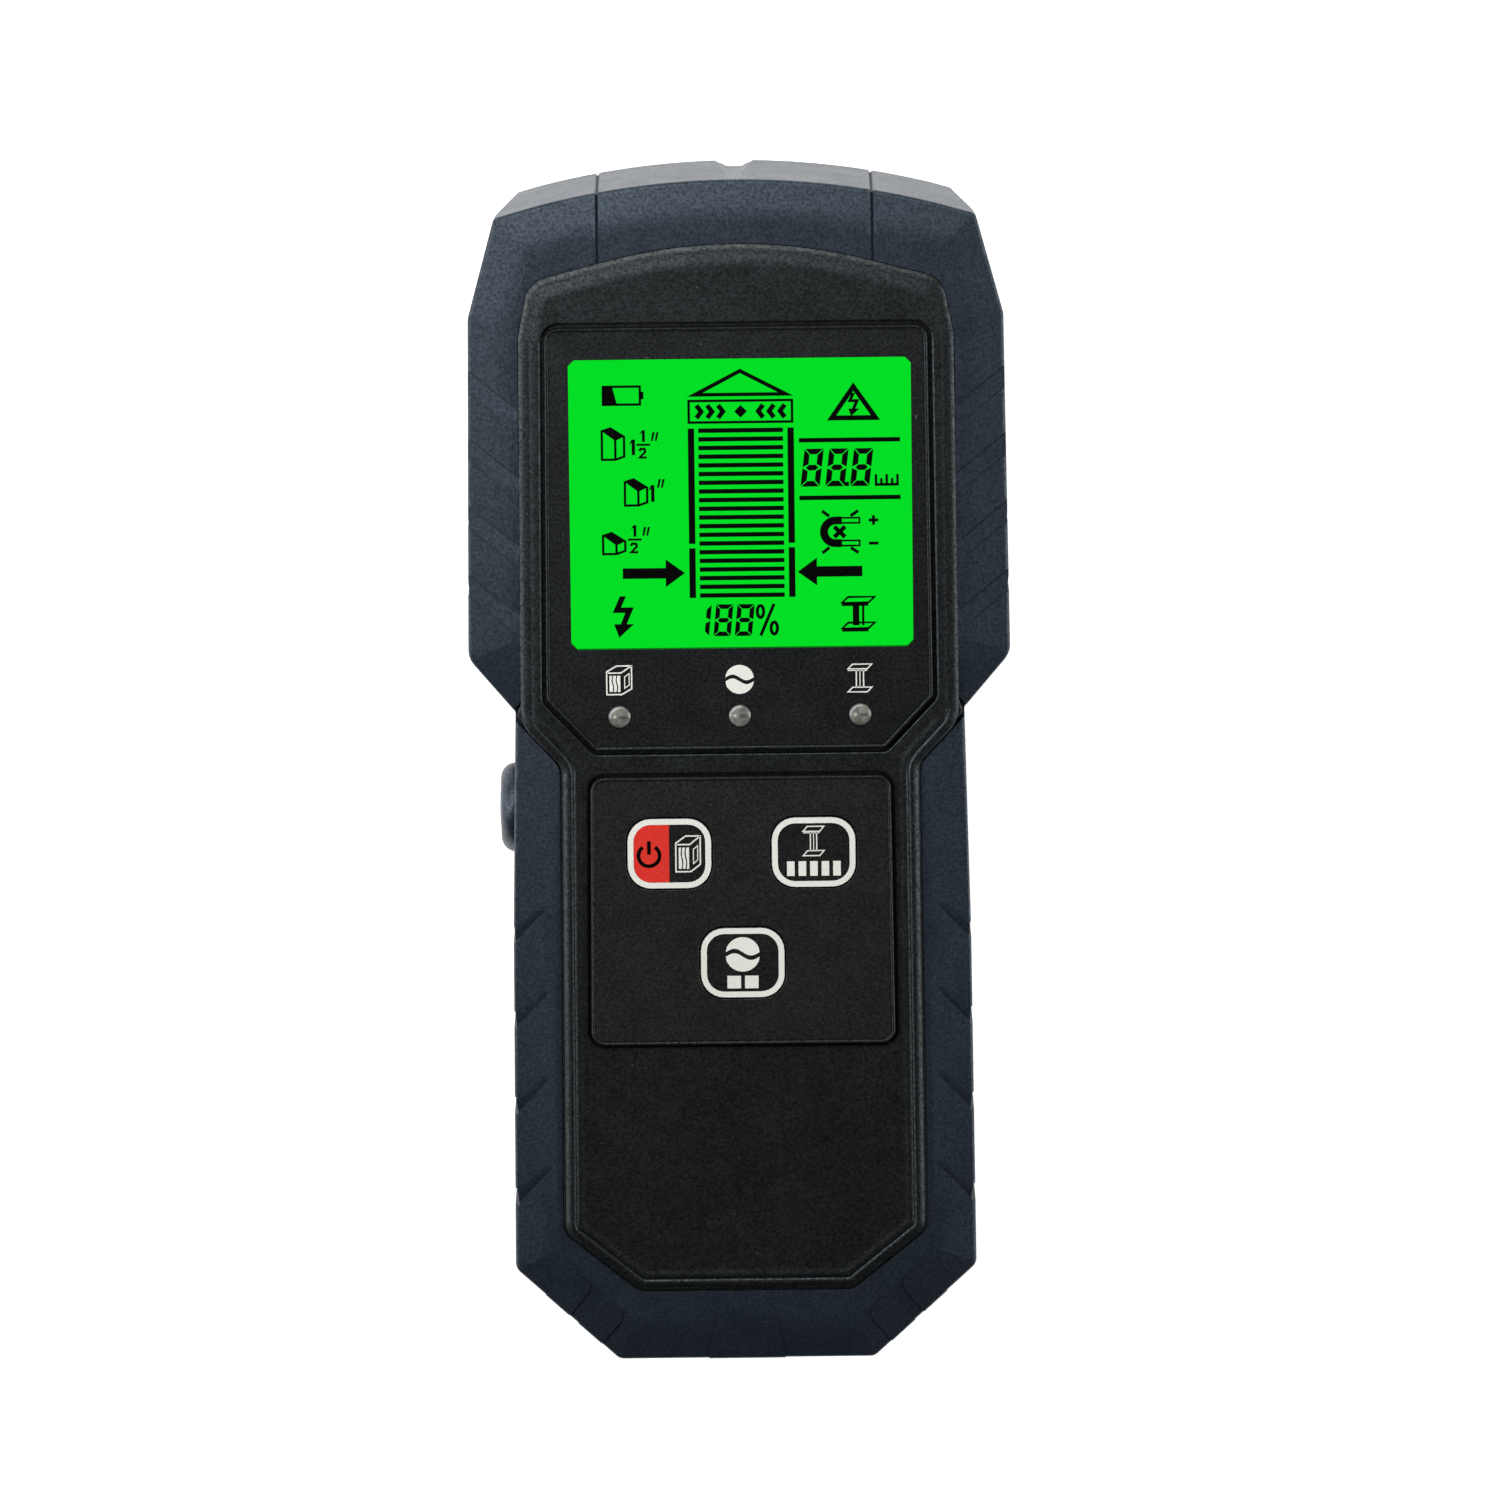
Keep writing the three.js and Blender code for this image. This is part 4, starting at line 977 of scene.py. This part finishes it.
def percent(ink, x, y):
    ink.line([(x - 0.75, y - 2.0), (x + 0.95, y + 2.0)], 0.4)
    turns = [math.tau * i / 16 for i in range(16)]
    for px, py in ((x - 0.75, y + 1.05), (x + 0.95, y - 1.05)):
        ink.line([(px + 0.4 * math.cos(t), py + 0.75 * math.sin(t)) for t in turns], 0.4, True)


def warning(ink, x, y, width, height):
    """A plain triangle with a small bolt in it."""
    half = width / 2 - 0.62
    ink.line([(x - half, y + 0.33), (x, y + height - 0.75), (x + half, y + 0.33)], 0.62, True)
    bolt(ink, x, y + 2.0, 1.5, 2.9)


def unit_mark(ink, x, y):
    """A short ruler where the unit stands."""
    ink.box(x, y, x + 3.0, y + 0.34)
    for i in range(5):
        ink.box(x + 0.67 * i, y, x + 0.67 * i + 0.32, y + (1.45 if i % 2 == 0 else 0.95))


def magnet(ink, x, y):
    """A crossed-out magnet with rays at its corners, a plus and a minus."""
    radius = 1.43
    ink.ring(x, y, radius, 1.0, 90, 270, 18)
    for side in (1, -1):
        arm = y + side * radius
        ink.box(x - 0.02, arm - 0.5, x + 0.75, arm + 0.5)
        pole = [(x + 0.7, arm - 0.32), (x + 3.0, arm - 0.32), (x + 3.0, arm + 0.32), (x + 0.7, arm + 0.32)]
        ink.line(pole, 0.23, True)
        ink.line([(x - 1.65, y + side * 2.65), (x - 0.75, y + side * 1.95)], 0.4)
        ink.line([(x + 2.85, y + side * 2.65), (x + 1.9, y + side * 2.0)], 0.4)
        ink.line([(x - 0.15, y - side * 0.66), (x + 1.2, y + side * 0.66)], 0.55)
    plus(ink, x + 4.75, y + 1.44, 0.6, 0.19)
    ink.box(x + 4.15, y - 1.66, x + 5.35, y - 1.28)


def lcd_girder(ink, x, y, width, height):
    half, tall, skew, flange = width / 2, height / 2, 0.8, 0.72
    for low in (y + tall - flange, y - tall + 0.35):
        ink.line([(x - half, low), (x + half - skew, low), (x + half, low + flange),
                  (x - half + skew, low + flange)], 0.28, True)
        ink.box(x - half, low - 0.42, x + half - skew, low + 0.05)
    web_foot, web_top = y - tall + flange, y + tall - flange
    ink.box(x - 0.7, web_foot, x + 0.12, web_top)
    ink.box(x + 0.45, web_foot, x + 0.75, web_top)


def lens_marks():
    """Pale signs printed above the three lights: timber, alternating current and girder."""
    ink = Print(Z_LENS - 0.04)
    y = LED_PLACES["ac_light"].y + 4.6
    timber(ink, LED_PLACES["stud_light"].x - 1.55, y - 1.75, 3.1, 3.6, 0.17)
    wave_disc(ink, LED_PLACES["ac_light"].x, y, 1.82, 0.5)
    girder(ink, LED_PLACES["metal_light"].x, y, 3.0, 3.5, 0.16)
    ink.done("light_signs", "body", "print_pale")


def lights():
    for name, place in LED_PLACES.items():
        low = cad_mm(name)[0].z
        radius, rise = 1.42, 0.42
        profile = [(0, low), (1.85, low), (1.85, low + 1.0), (radius, low + 1.1)]
        profile += [(radius * math.cos(t), Z_LENS - 0.1 + rise * math.sin(t)) for t in quarter_turn(12)[:-1]]
        profile.append((0, Z_LENS - 0.1 + rise))
        settle(turned(name + "_dome", profile, above(place)), "body", "light", [name])


lens()
lcd()
lens_marks()
lights()


# ------------------------------------------------------------------ key panel and keys
KEY_HALF = Vector((5.3, 4.475))
KEY_CORNER = 3.0


def key_outline(place, extra=0.0):
    return rectangle(KEY_HALF.x + extra, KEY_HALF.y + extra, KEY_CORNER + extra, place.x, place.y)


def key_panel():
    z = PANEL_HIGH.z
    lip = [(0.0, PANEL_LOW.z), (0.0, z - 0.22), (0.05, z - 0.09), (0.16, z), (0.3, z), (0.4, z - 0.05),
           (0.44, z - 0.13), (0.52, z - 0.13), (0.6, z - 0.03)]
    sheet = loft("key_panel_sheet", PANEL, lip)
    for place in KEY_PLACES.values():
        rim = [(0.0, CUT_LOW), (0.0, z - 0.1), (-0.08, z - 0.03), (-0.1, CUT_HIGH)]
        cut(sheet, loft("opening", key_outline(place, 0.13), rim))
    settle(sheet, "body", "key_panel", ["key_panel"])


def key_cap(name):
    place = KEY_PLACES[name]
    low, high = cad_mm(name)
    z = high.z - 0.03
    edge = [(0.0, z - 1.05), (0.0, z - 0.14), (0.04, z - 0.05), (0.13, z)]
    cap = loft(name + "_cap", key_outline(place), edge)
    stem = [(0, low.z), (1.4, low.z), (1.6, low.z + 0.2), (1.6, z - 0.8), (0, z - 0.8)]
    join(cap, turned("stem", stem, above(place)))
    settle(cap, name, "key", [name])
    ring = Print(z, 0.03)
    outer = outline_points(inset(key_outline(place), 0.1))
    inner = outline_points(inset(key_outline(place), 0.82))
    ring.band([tuple(p) for p in outer], [tuple(p) for p in inner])
    ring.done(name + "_ring", name, "print_pale")
    return place, z


def power_key():
    place, z = key_cap("power_key")
    red = Print(z, 0.012)
    half = outline_points(inset(key_outline(place), 0.85))
    edge = place.x - 0.03
    left = [tuple(p) for p in half if p.x < edge]
    start = [p for p in left if p[1] < place.y]
    end = [p for p in left if p[1] >= place.y]
    red.poly([(edge, place.y - KEY_HALF.y + 0.85)] + start + end + [(edge, place.y + KEY_HALF.y - 0.85)])
    red.done("power_key_field", "power_key", "power_key")
    sign = Print(z + 0.012, 0.014)
    sign.ring(place.x - 2.55, place.y - 0.25, 1.32, 0.46, 125, 415, 24)
    sign.box(place.x - 2.78, place.y - 0.1, place.x - 2.32, place.y + 1.6)
    sign.done("power_key_sign", "power_key", "print_black")
    ink = Print(z, 0.02)
    timber(ink, place.x + 0.8, place.y - 2.3, 3.05, 4.5, 0.18)
    ink.done("power_key_timber", "power_key", "print_pale")


def metal_key():
    place, z = key_cap("metal_key")
    ink = Print(z, 0.02)
    girder(ink, place.x, place.y + 1.4, 2.6, 3.7, 0.15)
    for i in range(5):
        x = place.x - 3.35 + 1.44 * i
        ink.box(x, place.y - 3.0, x + 0.95, place.y - 1.15)
    ink.done("metal_key_sign", "metal_key", "print_pale")


def ac_key():
    place, z = key_cap("ac_key")
    ink = Print(z, 0.02)
    wave_disc(ink, place.x, place.y + 1.05, 2.18, 0.58)
    for x in (-1.95, 0.25):
        ink.box(place.x + x, place.y - 3.25, place.x + x + 1.7, place.y - 1.65)
    ink.done("ac_key_sign", "ac_key", "print_pale")


key_panel()
power_key()
metal_key()
ac_key()


def side_button():
    low, high = cad_mm("side_button")
    middle = (low + high) / 2
    radius = (high.z - low.z) / 2
    face = -low.x
    profile = [(0, -high.x), (2.95, -high.x), (2.95, face - 2.5), (radius - 0.1, face - 2.5),
               (radius, face - 2.3)]
    profile += [(radius - 1.9 + 1.9 * math.cos(t), face - 2.0 + 1.85 * math.sin(t)) for t in quarter_turn(8)]
    profile += [(radius - 2.3, face - 0.2), (radius - 2.6, face - 0.3), (radius - 2.9, face - 0.22),
                (radius - 3.6, face - 0.06), (0, face)]
    place = Matrix.Translation((0, middle.y, middle.z)) @ Matrix.Rotation(-math.pi / 2, 4, "Y")
    cap = turned("side_button_cap", profile, place, 64)
    settle(cap, "side_button", "button_rubber", ["side_button"])


side_button()


# ------------------------------------------------------------------ back: cover, door, pads and screws
RAIL_TOP = DOOR_HIGH.z + 0.1
Z_FLOOR = 2.7
BACK_PARTING = Z_PARTING - 0.05
DOOR_LIP = 14.2  # half-width of the way for the door
Z_TONGUE = 1.55  # underside of the door's side tongues
SCREWS = [f"case_screw_{i}" for i in range(1, 5)]


def back_housing():
    edge = [(2.3, Z_BACK), (1.7, Z_BACK + 0.12), (1.2, Z_BACK + 0.45), (0.75, Z_BACK + 1.1),
            (0.55, Z_BACK + 2.0), (0.5, Z_SPLIT - 0.15)]
    cover = body_solid("back_housing_shell", 0.0, edge)
    join(cover, body_solid("shell", ARMOUR_THICK + 0.05, [(0.0, Z_SPLIT - 1), (0.0, BACK_PARTING)]))
    cut(cover, body_solid("hollow", ARMOUR_THICK + WALL, [(0.0, Z_FLOOR), (0.0, 30)]))
    half, low_y, high_y = 13.4, cad_mm("battery")[0].y - 0.2, DOOR_HIGH.y - 0.65
    middle, reach = (low_y + high_y) / 2, (high_y - low_y) / 2
    walls = rectangle(half + 1.25, reach + 1.25, 0.3, 0, middle)
    rails = rectangle(17, reach + 2.6, 0.3, 0, middle)
    join(cover, loft("bay", walls, [(0, RAIL_TOP), (0, BACK_HIGH.z)]))
    join(cover, loft("rail", rails, [(0, RAIL_TOP), (0, Z_FLOOR + 1.2)]))
    bore = [(0, 0), (3.1, 0), (2.75, Z_BACK + 0.25), (2.7, 2.4), (1.45, 2.4), (1.45, 12), (0, 12)]
    for name in SCREWS:
        place = above(middle_mm(name))
        join(cover, rod("post", 2.6, Z_FLOOR - 0.2, BACK_PARTING, place))
        cut(cover, turned("bore", bore, place))
    cut(cover, loft("bay", rectangle(half, reach, 0.2, 0, middle), [(0, 0), (0, 30)]))
    cut(cover, block("lead_slot", (-5, high_y - 1, 8.5), (5, high_y + 2, 13.5)))
    tongue, y_end = DOOR_HIGH.x + 0.12, DOOR_HIGH.y + 0.15
    cut(cover, block("door_way", (-DOOR_LIP, -90, 0), (DOOR_LIP, y_end, Z_TONGUE)))
    cut(cover, block("tongue_way", (-tongue, -90, Z_TONGUE - 0.01), (tongue, y_end, RAIL_TOP)))
    recess = [(-0.2, Z_BACK - 1), (0.0, Z_BACK + 0.05), (0.15, Z_BACK + 0.3)]
    cut(cover, loft("label_recess", rectangle(17, 12, 2.0, 0, 30), recess), notch())
    settle(cover, "body", "housing", ["back_housing"])


def battery_door():
    y_low, y_high = DOOR_LOW.y, DOOR_HIGH.y
    middle, reach = (y_low + y_high) / 2, (y_high - y_low) / 2
    door = loft("battery_door_cover", rectangle(DOOR_LIP - 0.12, reach, 0.5, 0, middle), [
        (0.25, Z_BACK), (0.07, Z_BACK + 0.07), (0.0, Z_BACK + 0.25), (0.0, Z_TONGUE)])
    join(door, loft("tongue", rectangle(DOOR_HIGH.x, reach, 0.5, 0, middle), [
        (0.0, Z_TONGUE + 0.05), (0.0, DOOR_HIGH.z - 0.15), (0.15, DOOR_HIGH.z)]))
    join(door, block("middle", (-12, y_low + 0.5, Z_TONGUE - 0.3), (12, y_high - 0.6, Z_TONGUE + 0.3)))
    dish = [(-0.8, Z_BACK - 1), (0.0, Z_BACK), (0.3, Z_BACK + 0.22), (0.8, Z_BACK + 0.38)]
    cut(door, loft("thumb_dish", rectangle(8.6, 7.8, 2.4, 0, -60.5), dish))
    rib = [(-0.55, 0.4), (-0.35, -0.1), (-0.12, -0.28), (0.12, -0.28), (0.35, -0.1), (0.55, 0.4)]
    for i in range(6):
        place = Matrix.Translation((0, -66 + 2.2 * i, Z_BACK)) @ Matrix.Rotation(math.pi / 2, 4, "Z")
        join(door, prism("rib", rib, 13.4, place))
    pocket = [(0.25, DOOR_HIGH.z - 0.35), (0.0, DOOR_HIGH.z - 0.1), (-0.1, DOOR_HIGH.z + 1)]
    for y in (-24, -43.5, -63):
        cut(door, loft("pocket", rectangle(11.5, 8.5, 1.0, 0, y), pocket))
    arrow = [(-3.2, -43, 0.3), (3.2, -43, 0.3), (0, -47.6, 0.3)]
    cut(door, loft("mark", arrow, [(-0.2, Z_BACK - 1), (0.0, Z_BACK + 0.05), (0.2, Z_BACK + 0.35)]))
    settle(door, "battery_door", "housing", ["battery_door"])


def screws():
    for name in SCREWS:
        low, high = cad_mm(name)
        middle = (low + high) / 2
        head = 2.48
        profile = [(0, low.z + 0.05), (1.5, low.z + 0.08), (head - 0.25, low.z + 0.2), (head, low.z + 0.5),
                   (head, 2.35), (1.4, 2.35)]
        z = 2.9
        while z < high.z - 1.6:
            profile += [(1.15, z), (1.4, z + 0.35)]
            z += 0.7
        profile += [(0.6, high.z - 0.2), (0, high.z)]
        screw = turned(name + "_steel", profile, above(middle), 32)
        for turn in (0, math.pi / 2):
            place = Matrix.Translation((*middle.xy, low.z)) @ Matrix.Rotation(turn + 0.3, 4, "Z")
            cut(screw, prism("slot", [(-0.34, -1), (-0.28, 0.9), (0.28, 0.9), (0.34, -1)], 2.9, place))
        settle(screw, "body", "screw_steel", [name])


def pads():
    for name in ("head_pad_left", "head_pad_right", "handle_pad_left", "handle_pad_right"):
        low, high = cad_mm(name)
        middle, size = (low + high) / 2, (high - low) / 2
        pad = loft(name + "_felt", rectangle(size.x, size.y, 1.2, middle.x, middle.y), [
            (0.16, low.z), (0.04, low.z + 0.08), (0.0, low.z + 0.25), (0.0, high.z)])
        settle(pad, "body", "felt", [name])


def battery():
    low, high = cad_mm("battery")
    shoulder = high.y - 2.2
    middle = (low + high) / 2
    size = (high - low) / 2
    lay = Matrix.Translation((0, 0, middle.z)) @ Matrix.Rotation(-math.pi / 2, 4, "X")

    def jacket(name, y0, y1, grow, material, replaces=()):
        bm = bmesh.new()
        rings = []
        for d, y in ((0.3, y0), (0.0, y0 + 0.3), (0.0, y1 - 0.3), (0.3, y1)):
            points = outline_points(inset(rectangle(size.x, size.z, 1.9), d - grow))
            rings.append([(p.x, y, middle.z + p.y) for p in points])
        add_loft(bm, rings)
        settle(mesh_object(name, bm), "body", material, replaces)

    jacket("battery_can", low.y, shoulder, -0.02, "battery", ["battery"])
    jacket("battery_band", shoulder - 15, shoulder - 0.8, 0.0, "battery_band")
    ink = Print(low.z - 0.012, 0.024)
    y = shoulder - 7
    plus(ink, -6.35, y, 2.0, 0.4)
    ink.box(4.35, y - 0.4, 8.35, y + 0.4)
    ink.box(-10.5, shoulder - 16.6, 10.5, shoulder - 15.9)
    ink.done("battery_marks", "body", "print_pale")
    for name, x, radius in (("battery_socket", 6.35, 2.85), ("battery_stud", -6.35, 2.5)):
        place = Matrix.Translation((x, shoulder, 0)) @ lay
        neck = radius - 0.3
        profile = [(0, 0.05), (neck, 0.05), (neck, 1.2), (radius, 1.4), (radius, 1.9), (neck, 2.1), (0, 2.1)]
        settle(turned(name, profile, place, 24), "body", "bright_metal")


back_housing()
battery_door()
screws()
pads()
battery()


# ------------------------------------------------------------------ the CAD nodes that stay
for node, piece in frame["nodes"].items():
    row = next(r for r in frame["record"]["subparts"] if r["node"] == node)
    piece.data.materials.clear()
    piece.data.materials.append(MATERIALS[row["material_slot"]])


# ------------------------------------------------------------------ floor, light and camera
def studio():
    bm = bmesh.new()
    bmesh.ops.create_grid(bm, x_segments=1, y_segments=1, size=2500)
    floor = mesh_object("floor", bm)
    n = Nodes("floor")
    tone = n.mix(n.noise(60.0), (0.86, 0.86, 0.86), (0.9, 0.9, 0.9))
    paper = n.add("ShaderNodeBsdfPrincipled", {
        "Base Color": tone, "Roughness": 0.9, "Specular IOR Level": 0.1, "Emission Color": (1, 1, 1, 1),
        "Emission Strength": 0.8})
    below = n.add("ShaderNodeNewGeometry").outputs["Backfacing"]
    clear = n.add("ShaderNodeBsdfTransparent")
    n.output(n.add("ShaderNodeMixShader", {0: below, 1: paper.outputs[0], 2: clear.outputs[0]}))
    floor.data.materials.append(MATERIALS["floor"])
    floor.location.z = -0.1 * MM

    world = bpy.data.worlds.new("studio")
    bpy.context.scene.world = world
    n = Nodes("studio", world)
    direction = n.add("ShaderNodeTexCoord").outputs["Generated"]
    axes = n.add("ShaderNodeSeparateXYZ", {"Vector": direction})
    overhead = n.spread(axes.outputs["Z"], 0.05, 0.55, 0.85, 0.03)
    from_end = n.spread(axes.outputs["Y"], -0.7, 0.5, 0.08, 1.0)
    strength = n.math("MULTIPLY", overhead, from_end)
    sky = n.add("ShaderNodeBackground", {"Color": (1.0, 1.0, 1.0, 1.0), "Strength": strength})
    n.add("ShaderNodeOutputWorld", {"Surface": sky.outputs[0]})

    def softbox(name, place, target, size, power):
        light = bpy.data.lights.new(name, "AREA")
        light.shape = "RECTANGLE"
        light.size, light.size_y = size
        light.energy = power
        lamp = bpy.data.objects.new(name, light)
        lamp.location = place
        lamp.rotation_euler = (Vector(target) - Vector(place)).to_track_quat("-Z", "Y").to_euler()
        bpy.context.scene.collection.objects.link(lamp)

    softbox("window", (-0.07, 0.165, 0.22), (0, 0.04, 0), (0.34, 0.12), 0.64)
    softbox("fill", (-0.7, 0.02, 0.4), (0, 0, 0), (0.4, 0.7), 2.9)
    softbox("rim", (0.7, 0.02, 0.4), (0, 0, 0), (0.4, 0.7), 3.2)


CAMERA_TILT = math.radians(9.0)
CAMERA_REACH = 2.0
CAMERA_ROLL = math.radians(0.65)
FRAME_WIDTH = 0.1882


def camera():
    low, high = CAD_BOX
    middle = (Vector(low) + Vector(high)) / 2
    data = bpy.data.cameras.new("camera")
    data.sensor_width = 36
    data.lens = data.sensor_width * CAMERA_REACH / FRAME_WIDTH
    eye = bpy.data.objects.new("camera", data)
    aim = middle + Vector((0.0012, 0.0012, 0))
    turn = Matrix.Rotation(-CAMERA_TILT, 4, "X") @ Matrix.Rotation(-CAMERA_ROLL, 4, "Z")
    eye.matrix_world = Matrix.Translation(aim) @ turn @ Matrix.Translation((0, 0, CAMERA_REACH))
    bpy.context.scene.collection.objects.link(eye)
    bpy.context.scene.camera = eye
    bpy.context.scene.view_settings.view_transform = "Standard"


studio()
camera()
